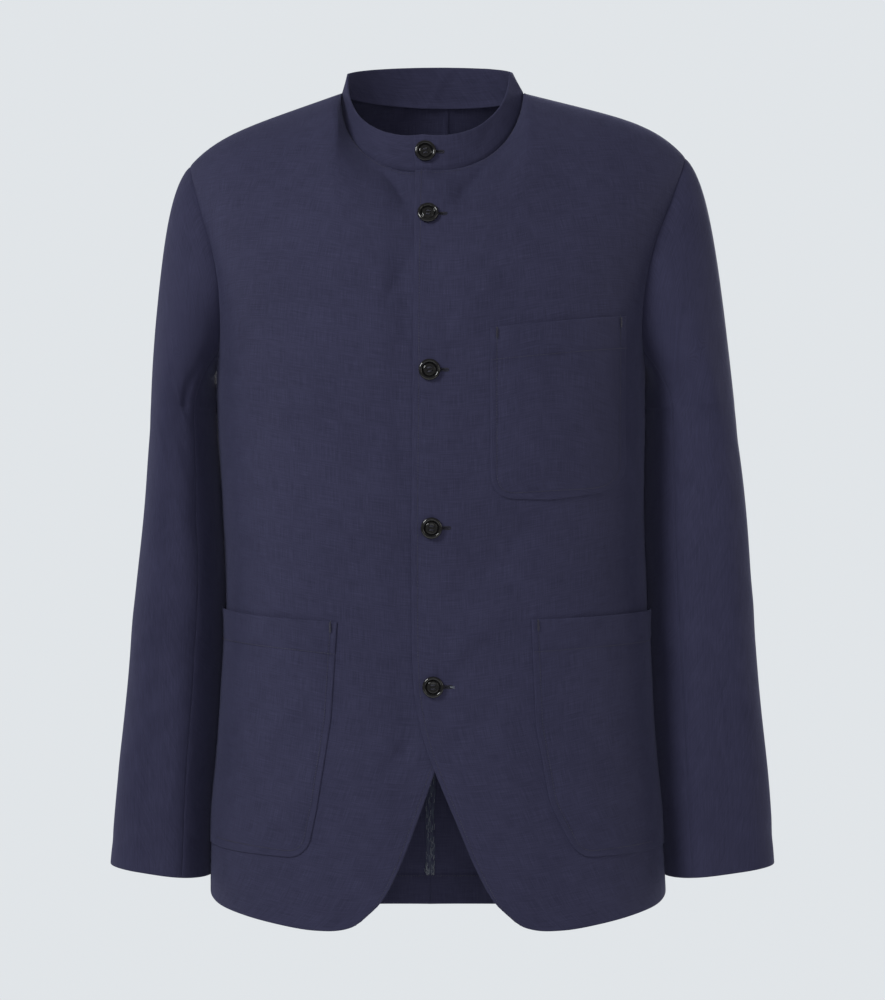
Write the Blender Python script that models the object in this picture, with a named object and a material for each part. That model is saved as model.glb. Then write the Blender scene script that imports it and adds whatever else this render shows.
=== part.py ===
# A jacket with a stand collar, three patch pockets and five buttons, filled out as if worn.
# Sizes are in millimetres and become metres when a mesh is made.
# +X is the wearer's left, the front faces -Y, and the origin lies in the neck at the height of the shoulders.

import math
from collections import namedtuple

import bmesh
import bpy
from mathutils import Matrix, Vector

METRES = 0.001

# Cloth walls and the spaces between pieces
BODY_WALL = 1.6
COLLAR_WALL = 2.2
POCKET_WALL = 1.2
TAPE_WALL = 1.0
SEAM_GAP = 0.3
LAP_GAP = 0.8
COLLAR_GAP = 0.6
BUTTON_GAP = 0.6

# Mesh fineness
FRONT_NECK_COLUMNS = 9
BACK_NECK_COLUMNS = 7
SHOULDER_COLUMNS = 8
LOW_ROWS = 14
HIGH_ROWS = 10
CAP_ROWS = 7
ARM_ROWS = 12
COLLAR_ROWS = 3

# Body rings below the arms: the centre front's x, half widths, depths in front and behind, centre back's x
ARMPIT = -258
Section = namedtuple("Section", "z centre right left front back back_seam")
SECTIONS = (
    Section(-800, 4.0, 214.0, 224.0, 128.0, 138.0, -4.0),
    Section(-700, 3.0, 213.0, 218.5, 130.0, 133.0, -4.0),
    Section(-600, 0.0, 204.5, 209.5, 132.0, 125.0, -2.0),
    Section(-500, -2.0, 199.5, 205.0, 134.0, 119.0, 0.0),
    Section(-386, -3.5, 203.0, 201.0, 139.0, 126.0, 3.0),
    Section(-300, -4.0, 208.0, 202.0, 140.0, 138.0, 6.0),
    Section(ARMPIT, -4.5, 208.5, 202.5, 137.0, 142.0, 8.0),
)
SIDE_SEAM_Y = 8.0
FRONT_FULLNESS = 0.66
BACK_FULLNESS = 0.63

# Neckline: a sloping oval, whose front and back points stand a little off its middle
NECK_X = -1.5
NECK_Y = 6.0
NECK_WIDTH = 87.0
NECK_FRONT = 84.0
NECK_BACK = 56.0
NECK_FRONT_Z = -76.0
NECK_SIDE_Z = 4.0
NECK_BACK_Z = -4.0
NECK_FRONT_DIP = 5.0
NECK_BACK_HUMP = 3.0
NECK_FRONT_SHIFT = -5.0
NECK_BACK_SHIFT = 13.5
NECK_SHARE = 0.28

# Shoulder seams, from the neck to the tip
Shoulder = namedtuple("Shoulder", "tip_x tip_y slope drop")
SHOULDERS = {
    1: Shoulder(241.0, 10.0, -38.0, -24.0),
    -1: Shoulder(-234.0, 10.0, -51.0, -19.0),
}

# Directions in which the columns of the front reach the neckline and the shoulder, as (y, z)
PIT_LEAN = (0.62, 0.78)
NAPE_LEAN = (-0.55, 0.83)
NECK_SIDE_LEAN = (0.99, 0.12)
TIP_LEAN = (1.0, 0.0)
SHOULDER_PULL = 0.9

# Steps for the slant of the body: across, in height under the armpit, and in share of the way up over it
STEP_ACROSS = 0.01
STEP_LOW = 4.0
STEP_HIGH = 0.02
LOWEST = -540.0

# Armhole seams on the body, from the underarm to the tip: share of the way to the side, share of the way up
Seam = namedtuple("Seam", "out up")
ARMHOLE_FRONT = (
    Seam(1.0, 0.0),
    Seam(0.90, 0.035),
    Seam(0.83, 0.12),
    Seam(0.80, 0.27),
    Seam(0.82, 0.42),
    Seam(0.90, 0.62),
    Seam(0.965, 0.82),
    Seam(1.0, 1.0),
)
ARMHOLE_BACK = (
    Seam(1.0, 0.0),
    Seam(0.92, 0.03),
    Seam(0.86, 0.11),
    Seam(0.83, 0.25),
    Seam(0.85, 0.42),
    Seam(0.91, 0.62),
    Seam(0.97, 0.82),
    Seam(1.0, 1.0),
)

# Front edge: how far it reaches past the centre front, then the cutaway back to the hem
Edge = namedtuple("Edge", "z reach")
FRONT_EDGE = (
    Edge(-778, -72.0),
    Edge(-758, -52.0),
    Edge(-728, -36.0),
    Edge(-685, -18.5),
    Edge(-640, -1.0),
    Edge(-615, 7.5),
    Edge(-590, 13.5),
    Edge(-560, 17.5),
    Edge(-515, 18.5),
    Edge(ARMPIT, 15.0),
    Edge(-76, 11.0),
)
LAP_START = 46.0
LAP_FULL = 24.0
CALM_START = 16.0
CALM_END = 44.0

# Hems, by the share of the way from the front edge or the centre back to the side seam
Hem = namedtuple("Hem", "share z")
FRONT_HEM = (
    Hem(0, -778),
    Hem(0.1, -785),
    Hem(0.2, -784.5),
    Hem(0.34, -780),
    Hem(0.55, -773),
    Hem(0.75, -767),
    Hem(1, -758),
)
BACK_HEM = (Hem(0, -787), Hem(0.4, -785), Hem(0.7, -777), Hem(1, -758))

# Collar: height and how far it leans in, and the angles between which its under end steps in
Collar = namedtuple("Collar", "height_front height_side height_back lean_front lean_side lean_back rim_shift")
COLLAR = Collar(33.0, 18.5, 38.0, 5.0, 9.0, 5.0, -3.5)
COLLAR_STEP_START = 330.0
COLLAR_STEP_END = 345.0

# Sleeve rings below the armhole, by height; inner and outer are distances from the middle of the body
Ring = namedtuple("Ring", "z inner outer front back skew tilt")
SLEEVES = {
    1: (
        Ring(-300, 205.5, 286.0, -60.0, 80.0, 16.0, 0.0),
        Ring(-386, 202.5, 296.0, -58.0, 74.0, 20.0, 2.0),
        Ring(-470, 205.5, 302.0, -56.0, 68.0, 20.0, 3.0),
        Ring(-560, 210.0, 309.0, -53.0, 61.0, 20.0, 5.0),
        Ring(-650, 216.0, 317.5, -49.0, 53.0, 19.0, 6.0),
        Ring(-738, 222.5, 324.0, -45.0, 45.0, 18.0, 7.0),
    ),
    -1: (
        Ring(-300, 211.5, 269.5, -60.0, 80.0, 12.0, 0.0),
        Ring(-386, 204.5, 274.5, -58.0, 74.0, 16.0, 2.0),
        Ring(-470, 201.5, 282.5, -56.0, 68.0, 18.0, 3.0),
        Ring(-560, 204.0, 291.0, -53.0, 61.0, 20.0, 5.0),
        Ring(-650, 211.5, 300.5, -49.0, 53.0, 19.0, 6.0),
        Ring(-738, 216.0, 308.0, -45.0, 45.0, 18.0, 7.0),
    ),
}
SLEEVE_FRONT_SEAM = 8
SLEEVE_BACK_SEAM = 14

# The cap, where the sleeve leaves the armhole: its direction there, least and most by the angle, and its pull
CAP_OUT = (0.40, 0.72)
CAP_FORWARD = 0.38
CAP_DOWN = (0.79, 0.69)
CAP_LEAVE = (0.9, 0.5)
CAP_ARRIVE = 1.05

# Folds of the body as seen from the front and from behind: a line, its soft width and depth, troughs negative
Fold = namedtuple("Fold", "x0 z0 x1 z1 width depth")
FRONT_FOLDS = (
    Fold(-60, -50, -36, -90, 15, -3.0),
    Fold(56, -54, 26, -98, 14, -2.6),
    Fold(-28, -150, -22, -230, 10, -2.4),
    Fold(22, -225, 44, -190, 14, 2.0),
    Fold(4, -540, 48, -500, 13, 2.2),
    Fold(8, -478, 84, -412, 20, -2.2),
    Fold(-38, -632, -12, -600, 11, -2.0),
    Fold(-122, -606, -170, -664, 16, -2.0),
    Fold(90, -640, 150, -700, 18, -1.8),
)
BACK_FOLDS = (
    Fold(-60, -60, -150, -150, 24, -2.4),
    Fold(70, -66, 160, -158, 22, -2.2),
    Fold(-170, -430, -60, -500, 22, -2.4),
    Fold(60, -452, 165, -400, 24, -2.2),
    Fold(-130, -600, -100, -740, 26, 2.2),
    Fold(120, -610, 88, -735, 24, 2.0),
)

# Folds of the sleeves, by the angle from the outer side towards the front, and the height
Crease = namedtuple("Crease", "angle0 z0 angle1 z1 width depth")
SLEEVE_FOLDS = {
    1: (
        Crease(84, -150, 88, -300, 14, 2.5),
        Crease(128, -300, 60, -345, 12, -2.6),
        Crease(135, -372, 70, -404, 13, -2.4),
        Crease(120, -520, 60, -585, 15, 2.2),
        Crease(230, -380, 300, -430, 15, -2.6),
        Crease(250, -470, 320, -540, 16, -2.2),
    ),
    -1: (
        Crease(128, -330, 132, -450, 12, -3.0),
        Crease(100, -330, 50, -392, 14, -2.2),
        Crease(125, -560, 55, -640, 16, 2.2),
        Crease(110, -650, 60, -700, 14, -2.0),
        Crease(235, -372, 300, -424, 15, -2.6),
        Crease(250, -480, 315, -550, 16, -2.2),
    ),
}
SLEEVE_GIRTH_RADIUS = 55.0

# Pocket outlines as seen from the front, and the radius of each corner
Corner = namedtuple("Corner", "x z radius")
CHEST_POCKET = (
    Corner(52, -227, 0),
    Corner(179.5, -213.5, 0),
    Corner(179.5, -376, 30),
    Corner(110, -386, 80),
    Corner(52, -385, 24),
)
RIGHT_POCKET = (
    Corner(-89, -498.5, 0),
    Corner(-240, -484, 0),
    Corner(-240, -707, 0),
    Corner(-118, -719.5, 26),
    Corner(-108, -672, 90),
    Corner(-95, -588, 100),
)
LEFT_POCKET = (
    Corner(90, -496.5, 0),
    Corner(240, -487, 0),
    Corner(240, -711, 0),
    Corner(134, -719, 26),
    Corner(108, -668, 80),
    Corner(94, -594, 100),
)
ARC_STEPS = 4

# Tape over the centre back seam
TAPE_HALF_WIDTH = 4.5
TAPE_GAP = 0.7
TAPE_FIRST_ROW = 1

# Buttons: profile as radius and height, and their heights on the front
BUTTON_PROFILE = (
    (7.6, 0.0),
    (9.4, 0.7),
    (10.0, 1.8),
    (9.7, 2.8),
    (8.7, 3.4),
    (7.5, 3.2),
    (6.3, 2.3),
    (5.0, 1.9),
)
BUTTON_SIDES = 20
BUTTON_SEAT_RADIUS = 8.5
HOLE_RADIUS = 1.0
HOLE_OFFSET = 1.6
HOLE_SIDES = 6
FRONT_BUTTONS = ((-5.3, -120.0), (-3.9, -266.0), (-2.0, -411.8), (-0.6, -558.5))
COLLAR_BUTTON_TURN = 0.0
COLLAR_BUTTON_UP = 0.5


def mix(a, b, share):
    return a * (1 - share) + b * share


def ease(share):
    share = min(max(share, 0.0), 1.0)
    return share * share * (3 - 2 * share)


def smooth_between(positions, values, at):
    """A curve through the values, whose slope at each is that of its neighbours."""
    last = len(positions) - 1
    at = min(max(at, positions[0]), positions[-1])
    i = max(k for k in range(last) if positions[k] <= at)
    span = positions[i + 1] - positions[i]

    def slope(k):
        low, high = max(k - 1, 0), min(k + 1, last)
        return (values[high] - values[low]) / (positions[high] - positions[low])

    t = (at - positions[i]) / span
    rise = values[i] * (1 + 2 * t) * (1 - t) ** 2 + values[i + 1] * t * t * (3 - 2 * t)
    return rise + span * (slope(i) * t * (1 - t) ** 2 - slope(i + 1) * t * t * (1 - t))


def column(table, field, at):
    return smooth_between([row[0] for row in table], [getattr(row, field) for row in table], at)


def along(points, share):
    """A smooth curve through points of any number of numbers, by the share of their count."""
    steps = [k / (len(points) - 1) for k in range(len(points))]
    return tuple(smooth_between(steps, [p[i] for p in points], share) for i in range(len(points[0])))


def bezier(p0, p1, p2, p3, t):
    return (1 - t) ** 3 * p0 + 3 * (1 - t) ** 2 * t * p1 + 3 * (1 - t) * t * t * p2 + t**3 * p3


def hermite(p0, d0, p1, d1, t):
    near = (1 + 2 * t) * (1 - t) ** 2 * p0 + t * t * (3 - 2 * t) * p1
    return near + t * (1 - t) ** 2 * d0 - t * t * (1 - t) * d1


def quarter_ring(u, z, face):
    """A point of the ring at height z: u runs from the centre, 0, to the side seam, 1 or -1."""
    side = 1 if u >= 0 else -1
    half = column(SECTIONS, "left" if side > 0 else "right", z) * side
    if face < 0:
        middle, depth = column(SECTIONS, "centre", z), -column(SECTIONS, "front", z)
        fullness = FRONT_FULLNESS
    else:
        middle, depth = column(SECTIONS, "back_seam", z), column(SECTIONS, "back", z)
        fullness = BACK_FULLNESS
    start = Vector((middle, depth, z))
    out = Vector((mix(middle, half, fullness), depth, z))
    turn = Vector((half, mix(SIDE_SEAM_Y, depth, fullness), z))
    end = Vector((half, SIDE_SEAM_Y, z))
    return bezier(start, out, turn, end, abs(u))


def neckline(angle, side, face):
    """The neckline at an angle in degrees, from the centre, 0, to the side, 90."""
    c, s = math.cos(math.radians(angle)), math.sin(math.radians(angle))
    if face < 0:
        shift, depth, centre_z, hump = NECK_FRONT_SHIFT, -NECK_FRONT, NECK_FRONT_Z, -NECK_FRONT_DIP
    else:
        shift, depth, centre_z, hump = NECK_BACK_SHIFT, NECK_BACK, NECK_BACK_Z, NECK_BACK_HUMP
    z = mix(NECK_SIDE_Z, centre_z, c) + hump * math.sin(math.radians(2 * angle))
    return Vector((NECK_X + side * NECK_WIDTH * s + shift * c, NECK_Y + depth * c, z))


def shoulder_seam(share, side):
    neck = neckline(90, side, -1)
    seam = SHOULDERS[side]
    way = math.sin(share * math.pi / 2)
    rise = seam.slope * way + seam.drop * way**6
    return Vector((mix(neck.x, seam.tip_x, way), mix(neck.y, seam.tip_y, way), neck.z + rise))


def top_edge(u, face):
    """The neckline and then the shoulder seam, with the direction in which the cloth arrives there."""
    side = 1 if u >= 0 else -1
    if abs(u) <= NECK_SHARE:
        way = abs(u) / NECK_SHARE
        centre = PIT_LEAN if face < 0 else NAPE_LEAN
        point = neckline(90 * way, side, face)
        start, end = centre, [-face * n for n in NECK_SIDE_LEAN]
    else:
        way = (abs(u) - NECK_SHARE) / (1 - NECK_SHARE)
        point = shoulder_seam(way, side)
        start, end = [-face * n for n in NECK_SIDE_LEAN], [-face * n for n in TIP_LEAN]
    lean = Vector((0, mix(start[0], end[0], way), mix(start[1], end[1], way)))
    return point, lean.normalized()


def plain_body(u, h, face):
    """The body without folds. h is the height over the armpit, and above it the share of the way up."""
    if h <= 0:
        return quarter_ring(u, ARMPIT + h, face)
    low = quarter_ring(u, ARMPIT, face)
    start = (low - quarter_ring(u, ARMPIT - 10, face)).normalized()
    high, lean = top_edge(u, face)
    reach = (high - low).length
    return hermite(low, start * reach, high, lean * reach * SHOULDER_PULL, min(h, 1.0))


def fold_depth(folds, x, z):
    total = 0.0
    for fold in folds:
        a, b = Vector((fold.x0, fold.z0)), Vector((fold.x1, fold.z1))
        line = b - a
        way = (Vector((x, z)) - a).dot(line) / line.length_squared
        nearest = a + line * min(max(way, 0.0), 1.0)
        off = (Vector((x, z)) - nearest).length / fold.width
        total += fold.depth * math.exp(-off * off)
    return total


def body_normal(u, h, face):
    step, top = (STEP_LOW, 0.0) if h <= 0 else (STEP_HIGH, 1.0)
    across = plain_body(min(u + STEP_ACROSS, 1), h, face) - plain_body(max(u - STEP_ACROSS, -1), h, face)
    up = plain_body(u, min(h + step, top), face) - plain_body(u, max(h - step, LOWEST), face)
    return (up.cross(across) * face).normalized()


def body(u, h, face, under=0.0):
    """A point of the cloth's outer side, with its folds, moved in by what lies over it."""
    point = plain_body(u, h, face)
    swell = fold_depth(FRONT_FOLDS if face < 0 else BACK_FOLDS, point.x, point.z)
    if face < 0:
        swell *= ease((abs(point.x) - CALM_START) / (CALM_END - CALM_START))
    return point + body_normal(u, h, face) * (swell - under)


def u_at(x, h, face):
    """The share across the body at which it has this x."""
    low, high = -1.0, 1.0
    for _ in range(30):
        middle = (low + high) / 2
        if plain_body(middle, h, face).x < x:
            low = middle
        else:
            high = middle
    return (low + high) / 2


def under_depth(x, z, side):
    """How deep the right front lies where the left front covers it."""
    if side > 0:
        return 0.0
    off = x - column(SECTIONS, "centre", max(min(z, ARMPIT), -800))
    return (BODY_WALL + LAP_GAP) * ease((off + LAP_START) / (LAP_START - LAP_FULL))


def front_edge_u(h, side):
    if h <= 0:
        z, middle = ARMPIT + h, column(SECTIONS, "centre", ARMPIT + h)
    else:
        z = mix(ARMPIT, NECK_FRONT_Z, h)
        middle = mix(SECTIONS[-1].centre, NECK_X + NECK_FRONT_SHIFT, h)
    return u_at(middle - side * column(FRONT_EDGE, "reach", z), h, -1)


def column_shares(start, face):
    """The shares across a panel of its columns, one of which meets the neck's side on the shoulder seam."""
    neck_columns = FRONT_NECK_COLUMNS if face < 0 else BACK_NECK_COLUMNS
    neck = (NECK_SHARE - start) / (1 - start)
    shares = [neck * c / neck_columns for c in range(neck_columns)]
    return shares + [mix(neck, 1, c / SHOULDER_COLUMNS) for c in range(SHOULDER_COLUMNS + 1)]


def panel_place(side, face, across, start, end, bend=0.0):
    """A point of a panel and its slant, between two places given as shares across and up the body."""
    u, h = mix(start[0], end[0], across), mix(start[1], end[1], across) + bend
    point = plain_body(u, h, face)
    under = under_depth(point.x, point.z, side) if face < 0 else 0.0
    return body(u, h, face, under), body_normal(u, h, face)


def panel_grid(side, face):
    """Rows of points of one front or back, from the hem up, each from the centre to the side or armhole."""
    hem = FRONT_HEM if face < 0 else BACK_HEM
    armhole = ARMHOLE_FRONT if face < 0 else ARMHOLE_BACK
    shares = column_shares(front_edge_u(1, side) * side if face < 0 else 0.0, face)
    rows = []
    for r in range(LOW_ROWS):
        up = r / LOW_ROWS
        start_h, end_h = [mix(hem[k].z, ARMPIT, up) - ARMPIT for k in (0, -1)]
        start = front_edge_u(start_h, side) if face < 0 else 0.0, start_h
        row = []
        for across in shares:
            bend = (column(hem, "z", across) - mix(hem[0].z, hem[-1].z, across)) * (1 - up)
            row.append(panel_place(side, face, across, start, (side, end_h), bend))
        rows.append(row)
    for r in range(HIGH_ROWS + 1):
        up = r / HIGH_ROWS
        arm_u, arm_h = along(armhole, up)
        start = front_edge_u(up, side) if face < 0 else 0.0, up
        rows.append([panel_place(side, face, across, start, (side * arm_u, arm_h)) for across in shares])
    return [[point for point, _ in row] for row in rows], [[slant for _, slant in row] for row in rows]


def grid_normals(grid, sign):
    rows, columns = len(grid), len(grid[0])

    def normal(r, c):
        up = grid[min(r + 1, rows - 1)][c] - grid[max(r - 1, 0)][c]
        across = grid[r][min(c + 1, columns - 1)] - grid[r][max(c - 1, 0)]
        return (up.cross(across) * sign).normalized()

    return [[normal(r, c) for c in range(columns)] for r in range(rows)]


def draw_in(grid, edge, amount):
    """Moves one edge of a grid back along the cloth, to leave room for the piece beyond it."""
    picks = {
        "first row": [(grid[0], c, grid[1][c]) for c in range(len(grid[0]))],
        "last row": [(grid[-1], c, grid[-2][c]) for c in range(len(grid[0]))],
        "first column": [(row, 0, row[1]) for row in grid],
        "last column": [(row, len(row) - 1, row[-2]) for row in grid],
    }
    for row, index, neighbour in picks[edge]:
        row[index] = row[index] + (neighbour - row[index]).normalized() * amount


def wall_mesh(outer, normals, thickness):
    """Points and faces of a closed wall: the grid, the grid moved in, and the rim between them."""
    rows, columns = len(outer), len(outer[0])
    inner = [[p - n * thickness for p, n in zip(row, steer)] for row, steer in zip(outer, normals)]
    points = [p for row in outer for p in row] + [p for row in inner for p in row]
    half = rows * columns
    faces = []
    for r in range(rows - 1):
        for c in range(columns - 1):
            a, b = r * columns + c, r * columns + c + 1
            d, e = a + columns, b + columns
            faces += [(a, b, e), (a, e, d), (half + a, half + e, half + b), (half + a, half + d, half + e)]
    ring = [c for c in range(columns)]
    ring += [r * columns + columns - 1 for r in range(1, rows)]
    ring += [(rows - 1) * columns + c for c in range(columns - 2, -1, -1)]
    ring += [r * columns for r in range(rows - 2, 0, -1)]
    for a, b in zip(ring, ring[1:] + ring[:1]):
        if a < b:
            faces += [(b, a, half + b), (a, half + a, half + b)]
        else:
            faces += [(b, a, half + a), (b, half + a, half + b)]
    return points, faces


def material(name, colour, roughness, metallic=0.0):
    made = bpy.data.materials.new(name)
    made.use_nodes = True
    shader = made.node_tree.nodes["Principled BSDF"]
    shader.inputs["Base Color"].default_value = (*colour, 1)
    shader.inputs["Roughness"].default_value = roughness
    shader.inputs["Metallic"].default_value = metallic
    made.diffuse_color = (*colour, 1)
    return made


def add_object(name, points, faces, finish):
    mesh = bpy.data.meshes.new(name)
    mesh.from_pydata([p * METRES for p in points], [], faces)
    shape = bmesh.new()
    shape.from_mesh(mesh)
    bmesh.ops.recalc_face_normals(shape, faces=shape.faces)
    shape.to_mesh(mesh)
    shape.free()
    mesh.shade_smooth()
    mesh.set_sharp_from_angle(angle=math.radians(40))
    mesh.materials.append(finish)
    made = bpy.data.objects.new(name, mesh)
    bpy.context.scene.collection.objects.link(made)
    return made


def add_wall(name, grid, normals, thickness, finish):
    points, faces = wall_mesh(grid, normals, thickness)
    return add_object(name, points, faces, finish)


def sleeve_fold_depth(side, angle, z):
    total = 0.0
    for crease in SLEEVE_FOLDS[side]:
        scale = math.radians(1) * SLEEVE_GIRTH_RADIUS
        a = Vector((crease.angle0 * scale, crease.z0))
        b = Vector((crease.angle1 * scale, crease.z1))
        line = b - a
        here = Vector((angle * scale, z))
        way = min(max((here - a).dot(line) / line.length_squared, 0.0), 1.0)
        off = (here - a - line * way).length / crease.width
        total += crease.depth * math.exp(-off * off)
    return total


def sleeve_ring(side, z, angle):
    """A point of the sleeve below its cap, at an angle from the outer side towards the front.
    The ring is an oval whose back is skewed in towards the body."""
    rings = tuple(reversed(SLEEVES[side]))
    inner, outer, front, back, skew, tilt = [column(rings, name, z) for name in Ring._fields[1:]]
    c, s = math.cos(math.radians(angle)), math.sin(math.radians(angle))
    half_width = math.sqrt(((outer - inner) / 2) ** 2 - skew**2)
    x = (inner + outer) / 2 + half_width * c + skew * s
    y = (front + back) / 2 - (back - front) / 2 * s
    way_out = Vector((side * c, -s, 0))
    return Vector((side * x, y, z + tilt * c)) + way_out * sleeve_fold_depth(side, angle, z)


def sleeve_grid(side, armhole):
    """Rows of points from the armhole to the cuff, each once round from the shoulder by the front."""
    count = len(armhole)
    top = SLEEVES[side][0].z
    cuff = SLEEVES[side][-1].z
    columns = []
    for k, start in enumerate(armhole):
        angle = 360 * k / count
        c, s = math.cos(math.radians(angle)), math.sin(math.radians(angle))
        end = sleeve_ring(side, top, angle)
        outer = (1 + c) / 2
        leave = Vector((side * mix(*CAP_OUT, outer), -CAP_FORWARD * s, -mix(*CAP_DOWN, outer))).normalized()
        arrive = (sleeve_ring(side, top - 10, angle) - end).normalized()
        span = (end - start).length
        pull = mix(*CAP_LEAVE, outer)
        points = []
        for r in range(CAP_ROWS):
            way = r / CAP_ROWS
            point = hermite(start, leave * span * pull, end, arrive * span * CAP_ARRIVE, way)
            swell = Vector((side * c, -s, 0)) * sleeve_fold_depth(side, angle, point.z) * way
            points.append(point + swell)
        points += [sleeve_ring(side, mix(top, cuff, r / ARM_ROWS), angle) for r in range(ARM_ROWS + 1)]
        columns.append(points)
    return [[columns[k][r] for k in range(count)] for r in range(len(columns[0]))]


def ring_normals(grid, sign):
    rows, count = len(grid), len(grid[0])

    def normal(r, k):
        down = grid[min(r + 1, rows - 1)][k] - grid[max(r - 1, 0)][k]
        across = grid[r][(k + 1) % count] - grid[r][k - 1]
        return (down.cross(across) * sign).normalized()

    return [[normal(r, k) for k in range(count)] for r in range(rows)]


def rounded(corners):
    """A closed outline with each corner turned into an arc of its radius."""
    outline = []
    for k, corner in enumerate(corners):
        here = Vector((corner.x, corner.z))
        before = Vector(corners[k - 1][:2])
        after = Vector(corners[(k + 1) % len(corners)][:2])
        if corner.radius == 0:
            outline.append(here)
            continue
        to_before, to_after = (before - here).normalized(), (after - here).normalized()
        half_angle = to_before.angle(to_after) / 2
        limit = 0.45 * min((before - here).length, (after - here).length)
        cut = min(corner.radius / math.tan(half_angle), limit)
        start, end = here + to_before * cut, here + to_after * cut
        for step in range(ARC_STEPS + 1):
            t = step / ARC_STEPS
            outline.append(start * (1 - t) ** 2 + here * 2 * t * (1 - t) + end * t * t)
    return outline


def patch_on(grid, side, corners):
    """Points and faces of a wall that lies on a front, cut from that front's own faces by an outline."""
    outline = rounded(corners)
    middle = sum(outline, Vector((0, 0))) / len(outline)
    shape = bmesh.new()
    made = [[shape.verts.new(p) for p in row] for row in grid]
    for r in range(len(grid) - 1):
        for c in range(len(grid[0]) - 1):
            a, b, d, e = made[r][c], made[r][c + 1], made[r + 1][c], made[r + 1][c + 1]
            for face in ((a, b, e), (a, e, d)):
                shape.faces.new(face if side > 0 else face[::-1])
    for a, b in zip(outline, outline[1:] + outline[:1]):
        run = b - a
        away = Vector((run.y, -run.x))
        if away.dot(a - middle) < 0:
            away = -away
        parts = shape.verts[:] + shape.edges[:] + shape.faces[:]
        plane = {"plane_co": (a.x, 0, a.y), "plane_no": (away.x, 0, away.y)}
        bmesh.ops.bisect_plane(shape, geom=parts, dist=0.01, clear_outer=True, **plane)
    bmesh.ops.remove_doubles(shape, verts=shape.verts, dist=0.4)
    bmesh.ops.triangulate(shape, faces=shape.faces)
    shape.normal_update()
    shape.verts.index_update()
    half = len(shape.verts)
    points = [v.co + v.normal * (SEAM_GAP + POCKET_WALL) for v in shape.verts]
    points += [v.co + v.normal * SEAM_GAP for v in shape.verts]
    faces = []
    for face in shape.faces:
        a, b, c = [v.index for v in face.verts]
        faces += [(a, b, c), (half + c, half + b, half + a)]
    for edge in shape.edges:
        if len(edge.link_faces) == 1:
            a, b = [v.index for v in edge.verts]
            faces += [(a, b, half + b), (a, half + b, half + a)]
    shape.free()
    return points, faces


def collar_point(turn, up):
    """A point of the collar: turn is the angle from the centre front round by the wearer's left."""
    turn %= 360
    side = 1 if turn <= 180 else -1
    around = turn if turn <= 180 else 360 - turn
    share = abs(math.cos(math.radians(around)))
    if around <= 90:
        base, height, lean = neckline(around, side, -1), COLLAR.height_front, COLLAR.lean_front
    else:
        base, height, lean = neckline(180 - around, side, 1), COLLAR.height_back, COLLAR.lean_back
    height = mix(COLLAR.height_side, height, share)
    lean = mix(COLLAR.lean_side, lean, share)
    inward = Vector((NECK_X - base.x, NECK_Y - base.y, 0)).normalized()
    lift = mix(COLLAR_GAP, height, up)
    return base + Vector((COLLAR.rim_shift * up, 0, lift)) + inward * lean * up, inward


def collar_turns():
    """The angles round the neck of the panels' columns, from the upper end to the under end."""
    turns = []
    for side, face in ((1, -1), (1, 1), (-1, 1), (-1, -1)):
        start = front_edge_u(1, side) * side if face < 0 else 0.0
        shares = column_shares(start, face)
        count = FRONT_NECK_COLUMNS if face < 0 else BACK_NECK_COLUMNS
        part = [90 * mix(start, 1, share) / NECK_SHARE for share in shares[: count + 1]]
        part = part if face < 0 else [180 - turn for turn in reversed(part)]
        turns += part[1 if turns else 0 :] if side > 0 else [360 - turn for turn in reversed(part)][1:]
    return turns


def collar_grid():
    """Rows from the seam up, each from the upper end at the centre front round to the under end."""
    rows = []
    for r in range(COLLAR_ROWS + 1):
        row = []
        for turn in collar_turns():
            point, inward = collar_point(turn, r / COLLAR_ROWS)
            under = ease((turn - COLLAR_STEP_START) / (COLLAR_STEP_END - COLLAR_STEP_START))
            row.append(point + inward * (COLLAR_WALL + LAP_GAP) * under)
        rows.append(row)
    return rows


def body_grids():
    """The panels by face and side: points with their slants, and points drawn in at the seams."""
    grids = {}
    for face in (-1, 1):
        for side in (1, -1):
            grid, normals = panel_grid(side, face)
            grids[face, side] = grid, normals
            cut = [list(row) for row in grid]
            draw_in(cut, "last column", SEAM_GAP / 2)
            draw_in(cut, "last row", SEAM_GAP / 2)
            if face > 0:
                draw_in(cut, "first column", SEAM_GAP / 2)
            grids[face, side, "cut"] = cut
    return grids


def armhole_ring(grids, side, part):
    """Once round the armhole from the tip, down the front and up the back. Part 0 is the points."""
    front = [row[-1] for row in grids[-1, side][part][LOW_ROWS:]]
    back = [row[-1] for row in grids[1, side][part][LOW_ROWS:]]
    return front[::-1] + back[1:-1]


def add_sleeves(grids, finish):
    """Both two-piece sleeves. The body's and the sleeve's walls share their slant along the armhole."""
    for side, hand in ((1, "left"), (-1, "right")):
        ring = armhole_ring(grids, side, 0)
        off = Vector((side, 0, -0.25)).normalized() * SEAM_GAP
        grid = sleeve_grid(side, ring)
        normals = ring_normals(grid, -side)
        body_slants = armhole_ring(grids, side, 1)
        normals[0] = [(a + b).normalized() for a, b in zip(normals[0], body_slants)]
        share_slants(grids, side, normals[0])
        grid[0] = [p + off for p in grid[0]]
        count = len(ring)
        top = [k % count for k in range(SLEEVE_BACK_SEAM, count + SLEEVE_FRONT_SEAM + 1)]
        under = list(range(SLEEVE_FRONT_SEAM, SLEEVE_BACK_SEAM + 1))
        for words, picks in (("top", top), ("under", under)):
            piece = [[row[k] for k in picks] for row in grid]
            slants = [[row[k] for k in picks] for row in normals]
            draw_in(piece, "first column", SEAM_GAP / 2)
            draw_in(piece, "last column", SEAM_GAP / 2)
            add_wall(f"sleeve_{hand}_{words}", piece, slants, BODY_WALL, finish)


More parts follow.
